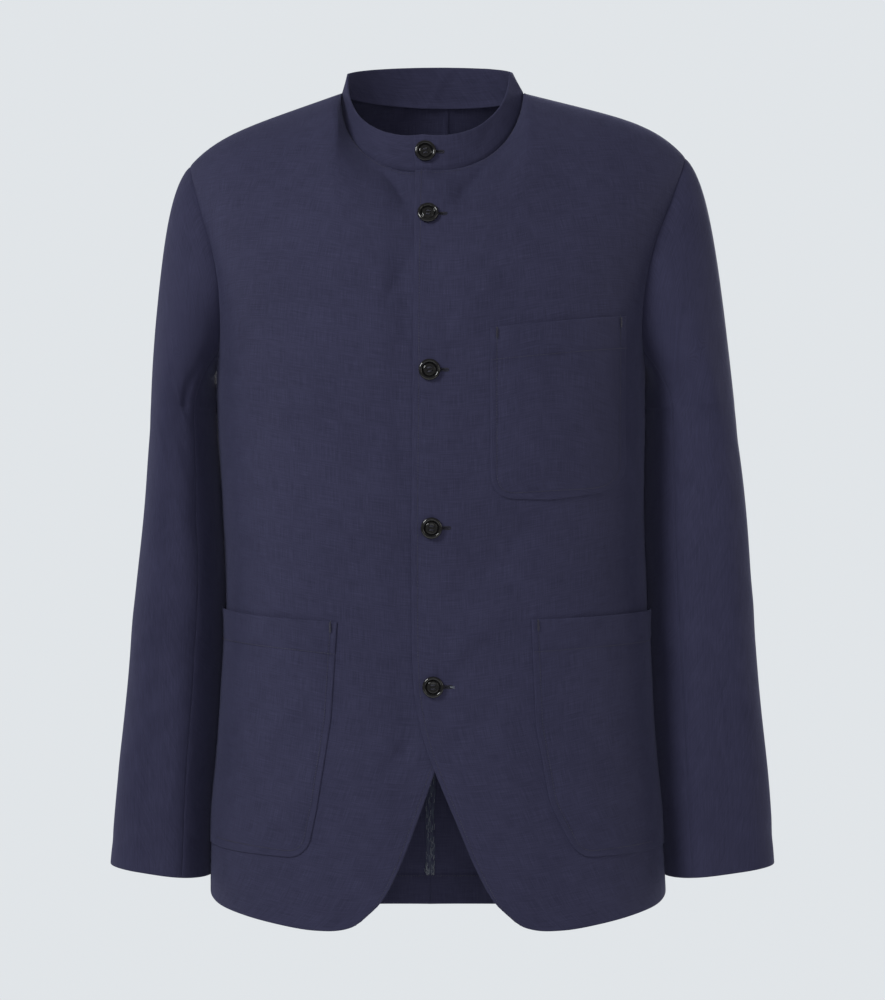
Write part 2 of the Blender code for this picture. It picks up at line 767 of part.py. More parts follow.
def share_slants(grids, side, slants):
    """Gives the armhole edges of the front and the back the slants of the sleeve's first row."""
    front, back = grids[-1, side][1], grids[1, side][1]
    rows = range(LOW_ROWS, LOW_ROWS + HIGH_ROWS + 1)
    for k, r in enumerate(reversed(rows)):
        front[r][-1] = slants[k]
    for k, r in enumerate(rows):
        back[r][-1] = slants[(HIGH_ROWS + k) % len(slants)]


def add_panels(grids, finish):
    for face, words in ((-1, "front"), (1, "back")):
        for side, hand in ((1, "left"), (-1, "right")):
            add_wall(f"{words}_{hand}", grids[face, side, "cut"], grids[face, side][1], BODY_WALL, finish)


def add_pockets(grids, finish):
    for name, side, corners in (
        ("pocket_chest", 1, CHEST_POCKET),
        ("pocket_left", 1, LEFT_POCKET),
        ("pocket_right", -1, RIGHT_POCKET),
    ):
        points, faces = patch_on(grids[-1, side, "cut"], side, corners)
        add_object(name, points, faces, finish)


def add_collar(finish):
    """The collar, whose lower rim is level so that it stands clear of the neckline."""
    grid = collar_grid()
    slants = grid_normals(grid, -1)
    slants[0] = [Vector((n.x, n.y, 0)).normalized() for n in slants[0]]
    add_wall("collar_band", grid, slants, COLLAR_WALL, finish)


def add_tape(grids, finish):
    """The strip over the centre back seam, from the neck to the hem's turn-up."""
    rows, slants = [], []
    for r in range(TAPE_FIRST_ROW, len(grids[1, 1][0])):
        row, row_slants = [], []
        for side, reach in ((-1, TAPE_HALF_WIDTH), (1, 0), (1, TAPE_HALF_WIDTH)):
            grid, normals = grids[1, side]
            start = grid[r][0] - normals[r][0] * BODY_WALL
            beyond = grid[r][1] - normals[r][1] * BODY_WALL
            share = reach / (beyond - start).length
            slant = (normals[r][0] * (1 - share) + normals[r][1] * share).normalized()
            row.append(start.lerp(beyond, share) - slant * TAPE_GAP)
            row_slants.append(slant)
        rows.append(row)
        slants.append(row_slants)
    add_wall("centre_back_tape", rows, slants, TAPE_WALL, finish)


def turned_disc():
    """A round button's points and faces before its holes: rings of the profile between two middle points."""
    points = [Vector((0, 0, BUTTON_PROFILE[0][1])), Vector((0, 0, BUTTON_PROFILE[-1][1]))]
    for radius, height in BUTTON_PROFILE:
        for k in range(BUTTON_SIDES):
            angle = 2 * math.pi * k / BUTTON_SIDES
            points.append(Vector((radius * math.cos(angle), radius * math.sin(angle), height)))
    faces = []
    for k in range(BUTTON_SIDES):
        after = (k + 1) % BUTTON_SIDES
        faces.append((0, 2 + after, 2 + k))
        for ring in range(len(BUTTON_PROFILE) - 1):
            low, high = 2 + ring * BUTTON_SIDES, 2 + (ring + 1) * BUTTON_SIDES
            faces.append((low + k, low + after, high + after, high + k))
        last = 2 + (len(BUTTON_PROFILE) - 1) * BUTTON_SIDES
        faces.append((1, last + k, last + after))
    return points, faces


def button_mesh(finish):
    """The button with its four holes, cut once and shared by every button."""
    blank = add_object("blank", *turned_disc(), finish)
    cutters = []
    for k in range(4):
        angle = math.radians(45 + 90 * k)
        shape = bmesh.new()
        size = {"radius1": HOLE_RADIUS * METRES, "radius2": HOLE_RADIUS * METRES, "depth": 10 * METRES}
        bmesh.ops.create_cone(shape, cap_ends=True, segments=HOLE_SIDES, **size)
        mesh = bpy.data.meshes.new("hole")
        shape.to_mesh(mesh)
        shape.free()
        cutter = bpy.data.objects.new("hole", mesh)
        cutter.location = Vector((math.cos(angle), math.sin(angle), 0)) * HOLE_OFFSET * 2**0.5 * METRES
        cutter.hide_render = True
        bpy.context.scene.collection.objects.link(cutter)
        cut = blank.modifiers.new("hole", "BOOLEAN")
        cut.object = cutter
        cutters.append(cutter)
    bpy.context.view_layer.update()
    done = bpy.data.meshes.new_from_object(blank.evaluated_get(bpy.context.evaluated_depsgraph_get()))
    for helper in (blank, *cutters):
        bpy.data.objects.remove(helper, do_unlink=True)
    return done


def height_at(z):
    """How far up the front this height lies at the centre: over the armpit, or as the share of the way up."""
    if z <= ARMPIT:
        return z - ARMPIT
    low, high = 0.0, 1.0
    for _ in range(30):
        middle = (low + high) / 2
        if plain_body(0, middle, -1).z < z:
            low = middle
        else:
            high = middle
    return (low + high) / 2


def front_seat(x, z):
    """Where a button's back rests on the left front, over the highest cloth beneath its rim."""
    h = height_at(z)
    u = u_at(x, h, -1)
    place, out = body(u, h, -1), body_normal(u, h, -1)
    step_h = BUTTON_SEAT_RADIUS / (abs(NECK_FRONT_Z - ARMPIT) if h > 0 else 1)
    step_u = abs(u_at(x + BUTTON_SEAT_RADIUS, h, -1) - u)
    rim = [(math.cos(a), math.sin(a)) for a in (math.pi * k / 4 for k in range(8))]
    highest = max((body(u + c * step_u, h + s * step_h, -1) - place).dot(out) for c, s in rim)
    return place + out * max(highest, 0.0), out


def collar_seat():
    place = collar_point(COLLAR_BUTTON_TURN, COLLAR_BUTTON_UP)[0]
    up = collar_point(COLLAR_BUTTON_TURN, 1)[0] - collar_point(COLLAR_BUTTON_TURN, 0)[0]
    across = collar_point(COLLAR_BUTTON_TURN + 4, COLLAR_BUTTON_UP)[0] - place
    return place, across.cross(up).normalized()


def add_buttons(finish):
    mesh = button_mesh(finish)
    seats = [collar_seat()] + [front_seat(x, z) for x, z in FRONT_BUTTONS]
    for k, (place, out) in enumerate(seats):
        button = bpy.data.objects.new(f"button_{k + 1}", mesh)
        across = Vector((1, 0, 0)) - out * out.x
        frame = Matrix((across.normalized(), out.cross(across).normalized(), out)).transposed()
        button.matrix_world = Matrix.Translation((place + out * BUTTON_GAP) * METRES) @ frame.to_4x4()
        bpy.context.scene.collection.objects.link(button)


def main():
    for old in list(bpy.data.objects):
        bpy.data.objects.remove(old, do_unlink=True)
    cloth = material("navy_linen", (0.032, 0.034, 0.066), 0.85)
    tape = material("navy_tape", (0.028, 0.030, 0.055), 0.8)
    horn = material("black_button", (0.012, 0.012, 0.014), 0.18)
    grids = body_grids()
    add_sleeves(grids, cloth)
    add_panels(grids, cloth)
    add_pockets(grids, cloth)
    add_collar(cloth)
    add_tape(grids, tape)
    add_buttons(horn)


main()
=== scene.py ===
# A navy linen jacket with a stand collar, filled out and hanging by itself.
# The cut is in millimetres, as on a pattern sheet, and becomes metres when a mesh is made.
# A face is -1 for the front and 1 for the back. A side is 1 for the wearer's left and -1 for the right.
import math
import random

import bmesh
import bpy
import numpy as np
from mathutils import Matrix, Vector
from mathutils.bvhtree import BVHTree


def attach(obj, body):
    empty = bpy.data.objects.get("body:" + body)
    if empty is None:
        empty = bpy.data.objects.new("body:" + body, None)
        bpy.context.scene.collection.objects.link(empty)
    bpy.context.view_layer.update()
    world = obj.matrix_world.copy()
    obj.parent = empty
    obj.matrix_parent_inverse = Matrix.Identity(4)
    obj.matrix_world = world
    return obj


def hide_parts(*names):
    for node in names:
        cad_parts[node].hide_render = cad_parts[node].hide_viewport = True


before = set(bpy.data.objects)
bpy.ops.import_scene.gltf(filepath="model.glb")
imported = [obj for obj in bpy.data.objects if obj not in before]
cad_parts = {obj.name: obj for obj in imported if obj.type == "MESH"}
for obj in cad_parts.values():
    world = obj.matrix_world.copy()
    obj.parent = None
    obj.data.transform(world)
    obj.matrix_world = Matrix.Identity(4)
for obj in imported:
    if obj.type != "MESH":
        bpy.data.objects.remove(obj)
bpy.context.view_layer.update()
mm = 0.001
for name in ("Cube", "Light", "Camera"):
    if name in bpy.data.objects:
        bpy.data.objects.remove(bpy.data.objects[name])
print("frame loaded:", len(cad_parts), "nodes")

# the cut of the jacket
body = {
    "armpit": -258.0,
    "sideSeamY": 8.0,
    "frontFullness": 0.66,
    "backFullness": 0.63,
    "z": (-800, -700, -600, -500, -386, -300, -258),  # heights of the rings, hem to armpit
    "centre": (4.0, 3.0, 0.0, -2.0, -3.5, -4.0, -4.5),
    "right": (214.0, 213.0, 204.5, 199.5, 203.0, 208.0, 208.5),
    "left": (224.0, 218.5, 209.5, 205.0, 201.0, 202.0, 202.5),
    "front": (128.0, 130.0, 132.0, 134.0, 139.0, 140.0, 137.0),
    "back": (138.0, 133.0, 125.0, 119.0, 126.0, 138.0, 142.0),
    "backSeam": (-4.0, -4.0, -2.0, 0.0, 3.0, 6.0, 8.0),
    "frontWall": 1.6,
    "lapGap": 0.8,
    "calmSide": 0.07, "calmTop": 0.09,  # shares of the piece over which its creases fade out
    "lowest": -540.0,  # from the armpit down to where slants are still measured
    "foot": -800.0,  # the lowest ring
}
neck = {
    "x": -1.5, "y": 6.0, "width": 87.0, "share": 0.28,
    "front": (-5.0, -84.0, -76.0, -5.0),  # shift, depth, z at the centre, dip
    "back": (13.5, 56.0, -4.0, 0.0),
    "sideZ": 4.0,
    "pitLean": (0.62, 0.78), "napeLean": (-0.55, 0.83), "sideLean": (0.99, 0.12), "tipLean": (1.0, 0.0),
    "pull": 0.9,
}
shoulder = {  # tip x, tip y, slope, drop
    1: (241.0, 10.0, -38.0, -24.0),
    -1: (-234.0, 10.0, -51.0, -19.0),
}
armhole = {  # share of the half width, share of the height from armpit to shoulder
    -1: (
        (1.0, 0.0), (0.90, 0.035), (0.83, 0.12), (0.80, 0.27),
        (0.82, 0.42), (0.90, 0.62), (0.965, 0.82), (1.0, 1.0),
    ),
    1: (
        (1.0, 0.0), (0.92, 0.03), (0.86, 0.11), (0.83, 0.25),
        (0.85, 0.42), (0.91, 0.62), (0.97, 0.82), (1.0, 1.0),
    ),
}
frontEdge = {
    "z": (-776, -758, -728, -685, -640, -615, -590, -560, -515, -258, -76),
    "reach": (-71.0, -52.5, -36.0, -18.5, -1.0, 7.5, 13.5, 17.5, 18.5, 15.0, 11.0),
    "lapStart": 46.0, "lapFull": 24.0, "calmStart": 10.0, "calmEnd": 26.0,
}
hem = {  # share of the way from the front edge to the side seam, and height there
    -1: (
        (0, 0.026, 0.05, 0.08, 0.12, 0.2, 0.34, 0.55, 0.75, 1),
        (-776, -780.8, -783.2, -784.8, -785.4, -784.5, -780, -773, -767, -758),
    ),
    1: ((0, 0.4, 0.7, 1), (-787, -785, -777, -758)),
}


def vec(x, y, z):
    return np.stack(np.broadcast_arrays(np.asarray(x, float), y, z), -1)


def mix(a, b, t):
    return a * (1 - t) + b * t


def soften(t):
    t = np.clip(t, 0, 1)
    return t * t * (3 - 2 * t)


def unit(v):
    return v / np.maximum(np.linalg.norm(v, axis=-1, keepdims=True), 1e-9)


def hump(x, at, width):
    return np.exp(-((x - at) / width) ** 2)


def halving(low, high, isBelow, times):
    # finds where isBelow turns false between low and high
    for _ in range(times):
        middle = (low + high) / 2
        below = isBelow(middle)
        low, high = np.where(below, middle, low), np.where(below, high, middle)
    return (low + high) / 2


def passThrough(spots, values, at):
    # a smooth curve through the values
    spots, values = np.asarray(spots, float), np.asarray(values, float)
    k = np.arange(len(spots))
    low, high = np.maximum(k - 1, 0), np.minimum(k + 1, len(spots) - 1)
    slope = (values[high] - values[low]) / (spots[high] - spots[low])
    at = np.clip(at, spots[0], spots[-1])
    i = np.clip(np.searchsorted(spots, at, "right") - 1, 0, len(spots) - 2)
    span = spots[i + 1] - spots[i]
    t = (at - spots[i]) / span
    swing = slope[i] * t * (1 - t) ** 2 - slope[i + 1] * t * t * (1 - t)
    return mix(values[i], values[i + 1], soften(t)) + span * swing


def ring(name, z):
    return passThrough(body["z"], body[name], z)


def armholeAt(face, up):
    outs, ups = np.array(armhole[face]).T
    steps = np.linspace(0, 1, len(outs))
    return passThrough(steps, outs, up), passThrough(steps, ups, up)


def bodyRing(u, z, face):
    # u is the share of the half width, from -1 to 1
    half = np.where(u >= 0, ring("left", z), -ring("right", z))
    middle = ring("centre" if face < 0 else "backSeam", z)
    depth = -ring("front", z) if face < 0 else ring("back", z)
    full = body["frontFullness"] if face < 0 else body["backFullness"]
    t = abs(u)
    a, b, c, d = (1 - t) ** 3, 3 * (1 - t) ** 2 * t, 3 * (1 - t) * t * t, t**3
    x = a * middle + b * mix(middle, half, full) + (c + d) * half
    y = (a + b) * depth + c * mix(body["sideSeamY"], depth, full) + d * body["sideSeamY"]
    return vec(x, y, z)


def neckline(angle, side, face):
    # 0 degrees is the centre and 90 the shoulder seam
    c, s = np.cos(np.radians(angle)), np.sin(np.radians(angle))
    shift, depth, middleZ, hump = neck["front"] if face < 0 else neck["back"]
    z = mix(neck["sideZ"], middleZ, c) + hump * np.sin(np.radians(2 * np.asarray(angle, float)))
    return vec(neck["x"] + side * neck["width"] * s + shift * c, neck["y"] + depth * c, z)


def topEdge(u, face):
    side = np.where(u >= 0, 1, -1)
    t = abs(u)
    onNeck = t <= neck["share"]
    way = np.where(onNeck, t / neck["share"], (t - neck["share"]) / (1 - neck["share"]))
    tipX, tipY, slope, drop = [np.where(side > 0, shoulder[1][k], shoulder[-1][k]) for k in range(4)]
    along = np.sin(np.clip(way, 0, 1) * math.pi / 2)
    base = neckline(90, side, -1)
    seamZ = base[..., 2] + slope * along + drop * along**6
    seam = vec(mix(base[..., 0], tipX, along), mix(base[..., 1], tipY, along), seamZ)
    point = np.where(onNeck[..., None], neckline(90 * way, side, face), seam)
    sideLean, tipLean = np.array(neck["sideLean"]) * -face, np.array(neck["tipLean"]) * -face
    centre = np.array(neck["pitLean"] if face < 0 else neck["napeLean"])
    t = way[..., None]
    lean = np.where(onNeck[..., None], mix(centre, sideLean, t), mix(sideLean, tipLean, t))
    return point, unit(vec(0, lean[..., 0], lean[..., 1]))


def bend(start, leave, end, arrive, t):
    # a curve that leaves and arrives along the two given directions
    t = np.asarray(t)[..., None]
    return mix(start, end, soften(t)) + t * (1 - t) ** 2 * leave - t * t * (1 - t) * arrive


def plainBody(u, h, face):
    # without creases; h is in mm below the armpit, and a share of the way up above it
    u, h = np.broadcast_arrays(np.asarray(u, float), np.asarray(h, float))
    below = bodyRing(u, body["armpit"] + np.minimum(h, 0), face)
    low = bodyRing(u, np.full(u.shape, body["armpit"]), face)
    leave = unit(low - bodyRing(u, np.full(u.shape, body["armpit"] - 10), face))
    high, lean = topEdge(u, face)
    reach = np.linalg.norm(high - low, axis=-1, keepdims=True)
    above = bend(low, leave * reach, high, lean * reach * neck["pull"], np.clip(h, 0, 1))
    return np.where((h <= 0)[..., None], below, above)


def bodySlant(u, h, face):
    # the way that the cloth faces
    u, h = np.broadcast_arrays(np.asarray(u, float), np.asarray(h, float))
    step, top = np.where(h <= 0, 4.0, 0.02), np.where(h <= 0, 0.0, 1.0)
    across = plainBody(np.minimum(u + 0.01, 1), h, face) - plainBody(np.maximum(u - 0.01, -1), h, face)
    higher, lower = np.minimum(h + step, top), np.maximum(h - step, body["lowest"])
    up = plainBody(u, higher, face) - plainBody(u, lower, face)
    return unit(np.cross(up, across) * face)


# creases: x0, z0, x1, z1, soft width, depth (troughs are negative), sharpness of one flank
creases = {
    -1: (
        (-60, -50, -36, -90, 15, -3.0, 0),
        (56, -54, 26, -98, 14, -2.6, 0),
        (-28, -150, -22, -230, 10, -2.4, 0),
        (22, -225, 44, -190, 14, 2.0, 0),
        (4, -540, 48, -500, 13, 2.2, 0),
        (8, -478, 84, -412, 20, -2.2, 0),
        (-38, -632, -12, -600, 11, -2.0, 0),
        (-122, -606, -170, -664, 16, -2.0, 0),
        (90, -640, 150, -700, 18, -1.8, 0),
        (-52, -64, -22, -106, 5, -3.2, 1),
        (-34, -104, -20, -122, 6, -1.2, 0),
        (46, -72, 10, -114, 6, -2.4, -1),
        (-30, -120, -26, -172, 7, 1.3, 0),
        (-44, -196, -20, -152, 6, -1.6, 1),
        (-40, -300, -26, -350, 9, -1.0, 0),
        (26, -262, 66, -236, 8, 0.9, 0),
        (20, -330, 60, -300, 9, -0.9, 0),
        (-34, -420, -60, -392, 9, 0.9, 0),
        (12, -552, 42, -520, 6, -1.2, 1),
        (20, -610, 52, -588, 8, -1.0, 0),
        (-26, -610, -52, -640, 6, -1.2, -1),
        (-20, -596, -64, -604, 7, -0.9, 0),
        (-110, -560, -150, -600, 10, 1.1, 0),
        (-130, -640, -175, -690, 8, -1.1, 0),
        (-165, -690, -112, -702, 7, -1.3, 1),
        (-176, -590, -196, -640, 9, -1.2, 0),
        (110, -590, 134, -650, 10, -1.0, 0),
        (150, -640, 196, -700, 9, -1.2, 0),
        (60, -720, 90, -762, 12, 1.0, 0),
        (-60, -700, -92, -760, 12, 1.1, 0),
        (-150, -280, -176, -340, 14, -1.7, 0),
        (-196, -300, -172, -380, 10, -1.3, 0),
        (186, -280, 170, -344, 10, -1.2, 0),
        (192, -400, 176, -470, 12, -1.3, 0),
        (-190, -430, -176, -520, 14, -1.2, 0),
        (-120, -90, -160, -140, 22, -1.2, 0),
        (110, -96, 168, -142, 22, -1.2, 0),
        (-90, -180, -120, -260, 24, 0.9, 0),
        (-70, -460, -120, -440, 14, -0.8, 0),
    ),
    1: (
        (-60, -60, -150, -150, 24, -2.4, 0),
        (70, -66, 160, -158, 22, -2.2, 0),
        (-170, -430, -60, -500, 22, -2.4, 0),
        (60, -452, 165, -400, 24, -2.2, 0),
        (-130, -600, -100, -740, 26, 2.2, 0),
        (120, -610, 88, -735, 24, 2.0, 0),
        (-40, -70, -96, -118, 8, -1.2, 1),
        (44, -74, 110, -128, 8, -1.2, -1),
        (-150, -470, -70, -512, 9, -1.4, 1),
        (66, -486, 150, -440, 9, -1.4, -1),
        (-140, -380, -80, -400, 12, -1.1, 0),
        (90, -366, 150, -340, 12, -1.1, 0),
        (-50, -560, -30, -640, 12, 1.1, 0),
        (52, -560, 36, -650, 12, 1.0, 0),
        (-190, -270, -160, -350, 12, -1.5, 0),
        (188, -270, 160, -352, 12, -1.5, 0),
        (-60, -30, 60, -34, 10, -0.8, 0),
        (-180, -640, -150, -760, 14, -1.1, 0),
        (176, -640, 160, -760, 14, -1.1, 0),
    ),
}


def creaseDepth(rows, a, b):
    total = np.zeros(np.shape(a))
    for a0, b0, a1, b1, width, depth, lean in rows:
        da, db = a1 - a0, b1 - b0
        length = math.hypot(da, db)
        way = ((a - a0) * da + (b - b0) * db) / length**2
        near = np.clip(way, 0, 1)
        offA, offB = a - a0 - near * da, b - b0 - near * db
        across = (offA * db - offB * da) / length / width
        off2 = (offA**2 + offB**2) / width**2
        wander = 0.12 * np.sin(way * 5 + a0)  # an uneven run
        flank = 1 + 0.6 * lean * np.tanh(2 * (across + wander))
        total += depth * flank * np.exp(-off2 * (1 + wander)) * (0.85 + 0.3 * np.sin(way * 3.1 + b0) ** 2)
    return total


def ripple(a, b, seed):
    # soft unevenness: turns per mm both ways, and height
    waves = (
        (0.021, 0.013, 0.5), (-0.017, 0.031, 0.4), (0.043, -0.022, 0.22),
        (0.061, 0.052, 0.14), (-0.09, 0.035, 0.09),
    )
    return sum(h * np.sin(fa * a + fb * b + seed * (k + 1.7)) for k, (fa, fb, h) in enumerate(waves))


def bodyPoint(u, h, face, under=0.0):
    point = plainBody(u, h, face)
    x, z = point[..., 0], point[..., 2]
    swell = creaseDepth(creases[face], x, z) + 0.55 * ripple(x, z, 2.0 + face)
    if face < 0:
        calm = frontEdge["calmStart"]
        swell = swell * soften((abs(x) - calm) / (frontEdge["calmEnd"] - calm))
    # neighbours meet at their seams
    swell = swell * soften((1 - abs(u)) / body["calmSide"]) * soften((1 - h) / body["calmTop"])
    return point + bodySlant(u, h, face) * (swell - under)[..., None]


def shareAt(x, h, face):
    # the share u at which the body shows at x
    x, h = np.broadcast_arrays(np.asarray(x, float), np.asarray(h, float))
    ends = np.full(x.shape, -1.0), np.full(x.shape, 1.0)
    return halving(*ends, lambda u: plainBody(u, h, face)[..., 0] < x, 26)


def edgeShare(h, side):
    # where the front edge lies
    h = np.asarray(h, float)
    z = np.where(h <= 0, body["armpit"] + h, mix(body["armpit"], neck["front"][2], h))
    aboveIt = mix(body["centre"][-1], neck["x"] + neck["front"][0], h)
    middle = np.where(h <= 0, ring("centre", body["armpit"] + h), aboveIt)
    return shareAt(middle - side * passThrough(frontEdge["z"], frontEdge["reach"], z), h, -1)


def lapDepth(x, z, side):
    # how far the right front lies under the left one
    if side > 0:
        return np.zeros(x.shape)
    off = x - ring("centre", np.clip(z, body["foot"], body["armpit"]))
    lap = soften((off + frontEdge["lapStart"]) / (frontEdge["lapStart"] - frontEdge["lapFull"]))
    return (body["frontWall"] + body["lapGap"]) * lap


# cloth shells
shell = {
    "seamThin": 0.6, "seamRound": 1.6, "seamSink": 0.4, "seamWidth": 2.4,  # where two pieces meet
    "foldThin": 0.12, "foldRound": 1.3,  # where its cloth turns back
    "pucker": 0.35, "grooveWidth": 1.3,  # along a row of stitches
}


def putInScene(name, data):
    made = bpy.data.objects.new(name, data)
    bpy.context.scene.collection.objects.link(made)
    return made


def newPiece(name, points, faces, material, uv=None):
    mesh = bpy.data.meshes.new(name)
    mesh.from_pydata((np.asarray(points) * mm).tolist(), [], [tuple(map(int, f)) for f in faces])
    if uv is not None:
        layer = mesh.uv_layers.new(name="cut")
        index = np.empty(len(mesh.loops), int)
        mesh.loops.foreach_get("vertex_index", index)
        layer.data.foreach_set("uv", (np.asarray(uv)[index] * mm).ravel())
    mesh.shade_smooth()
    mesh.materials.append(material)
    return putInScene(name, mesh)


def arcs(grid, axis):
    # distance run along the grid's rows or columns
    step = np.linalg.norm(np.diff(grid, axis=axis), axis=-1)
    return np.concatenate([np.zeros_like(np.take(step, [0], axis)), np.cumsum(step, axis)], axis)


def chainArc(chain):
    return np.concatenate([[0], np.cumsum(np.linalg.norm(np.diff(chain, axis=0), axis=1))])


def alongChain(at, arc, chain):
    return np.stack([np.interp(at, arc, chain[..., k]) for k in range(chain.shape[-1])], -1)


def roundOff(distance, radius):
    return np.sqrt(1 - np.clip(1 - distance / radius, 0, 1) ** 2)


def thinned(distance, share, radius):
    return share + (1 - share) * roundOff(distance, radius)


def clothShell(name, grid, slants, wall, material, seams=(), folds=(), stitchAt=(), extra=None, rim=None):
    # seams sink and folds are turned edges; an edge is (axis, end), with rows of points along axis 0
    sAcross, sUp = arcs(grid, 1), arcs(grid, 0)
    ends = {
        (0, 0): sUp, (0, 1): sUp[-1:] - sUp,
        (1, 0): sAcross, (1, 1): sAcross[:, -1:] - sAcross,
    }
    thick = np.full(grid.shape[:2], wall)
    sink = np.zeros(grid.shape[:2])
    for edge in seams:
        thick = thick * thinned(ends[edge], shell["seamThin"], shell["seamRound"])
        sink = sink + shell["seamSink"] * hump(ends[edge], 0, shell["seamWidth"])
    turned = [ends[edge] for edge in folds] + ([] if rim is None else [rim])
    for inset in turned:
        thick = thick * thinned(inset, shell["foldThin"], shell["foldRound"])
    for edge, inset, depth in stitchAt:
        run = sAcross if edge[0] == 0 else sUp
        pucker = 1 + shell["pucker"] * np.sin(run * 0.9) * np.sin(run * 0.23 + 1)
        sink = sink + depth * pucker * hump(ends[edge], inset, shell["grooveWidth"])
    middle = grid - slants * (wall / 2 + sink)[..., None]
    outer = middle + slants * (thick / 2)[..., None]
    inner = middle - slants * (thick / 2 + (0 if extra is None else extra(ends)))[..., None]
    rows, columns = grid.shape[:2]
    k = np.arange(rows * columns).reshape(rows, columns)
    a, b, c, d = k[:-1, :-1].ravel(), k[:-1, 1:].ravel(), k[1:, 1:].ravel(), k[1:, :-1].ravel()
    half = rows * columns
    faces = np.vstack([np.stack([a, b, c, d], 1), np.stack([d, c, b, a], 1) + half])
    # the wall round all four edges
    loop = np.concatenate([k[0, :], k[1:, -1], k[-1, -2::-1], k[-2:0:-1, 0]])
    after = np.roll(loop, -1)
    faces = np.vstack([faces, np.stack([after, loop, loop + half, after + half], 1)])
    flat = np.stack([sAcross.ravel(), sUp.ravel()], 1)
    points = np.vstack([outer.reshape(-1, 3), inner.reshape(-1, 3)])
    piece = newPiece(name, points, faces, material, np.vstack([flat, flat]))
    outward(piece)
    return piece, outer, inner


def outward(piece):
    shape = bmesh.new()
    shape.from_mesh(piece.data)
    bmesh.ops.recalc_face_normals(shape, faces=shape.faces)
    if shape.calc_volume(signed=True) < 0:
        bmesh.ops.reverse_faces(shape, faces=shape.faces)
    shape.to_mesh(piece.data)
    shape.free()


def dense(start, end, count, total, near=(0.5, 1.1, 1.8, 2.8), nearStart=True, nearEnd=True, more=()):
    # shares from start to end, closer together at the two edges; total is the length in mm
    base = np.linspace(start, end, count + 1)
    extra = []
    if nearStart:
        extra += [start + n / total for n in near]
    if nearEnd:
        extra += [end - n / total for n in near]
    extra += [m / total for m in more]
    keep = [b for b in base if all(abs(b - e) > 1.6 / total for e in extra)]
    keep += [start, end] + [e for e in extra if start < e < end]
    return np.unique(np.round(keep, 7))


# shader values as plain sums: a wrapped socket takes + - * and the nodes by name
class Value:
    def __init__(self, tree, socket):
        self.tree, self.socket = tree, socket

    def node(self, kind, inputs, output=0, **settings):
        made = self.tree.nodes.new(kind)
        for name, value in settings.items():
            setattr(made, name, value)
        for key, value in inputs.items():
            if isinstance(value, Value):
                self.tree.links.new(value.socket, made.inputs[key])
            else:
                made.inputs[key].default_value = value
        return Value(self.tree, made.outputs[output])

    def math(self, operation, *values, clamp=False):
        return self.node("ShaderNodeMath", dict(enumerate(values)), operation=operation, use_clamp=clamp)

    def __add__(self, other):
        return self.math("ADD", self, other)

    def __sub__(self, other):
        return self.math("SUBTRACT", self, other)

    def __mul__(self, other):
        return self.math("MULTIPLY", self, other)

    def __radd__(self, other):
        return self.math("ADD", other, self)

    def __rsub__(self, other):
        return self.math("SUBTRACT", other, self)

    def __rmul__(self, other):
        return self.math("MULTIPLY", other, self)

    def sin(self):
        return self.math("SINE", self)

    def clamp(self):
        return self.math("ADD", self, 0.0, clamp=True)

    def noise(self, scale, detail=2.0, rough=0.5):
        inputs = {"Vector": self, "Scale": scale, "Detail": detail, "Roughness": rough}
        return self.node("ShaderNodeTexNoise", inputs)

    def stretched(self, x, y, z):
        return self.node("ShaderNodeVectorMath", {0: self, 1: (x, y, z)}, operation="MULTIPLY")

    def part(self, axis):
        return self.node("ShaderNodeSeparateXYZ", {0: self}, output=axis)

    def mixed(self, a, b):
        # a where this is 0 and b where it is 1, for two colours
        return self.node("ShaderNodeMix", {0: self, 6: a, 7: b}, output=2, data_type="RGBA")


def surface(name, colour, roughness, **constants):
    made = bpy.data.materials.new(name)
    made.use_nodes = True
    made.diffuse_color = (*colour, 1)
    shader = made.node_tree.nodes["Principled BSDF"]
    shader.inputs["Base Color"].default_value = (*colour, 1)
    shader.inputs["Roughness"].default_value = roughness
    for key, value in constants.items():
        shader.inputs[key.replace("_", " ")].default_value = value
    return made, made.node_tree, shader


linen = {
    "dark": (0.018, 0.0183, 0.042), "light": (0.042, 0.0425, 0.088), "slubColour": (0.064, 0.066, 0.120),
    "fuzz": (0.085, 0.105, 0.140), "sheenTint": (0.45, 0.48, 0.85, 1),
    "pitch": 0.00062, "roughness": 0.86,
    "weaveRelief": 0.00007, "crumpleRelief": 0.0006, "softRelief": 0.0016,  # metres
}


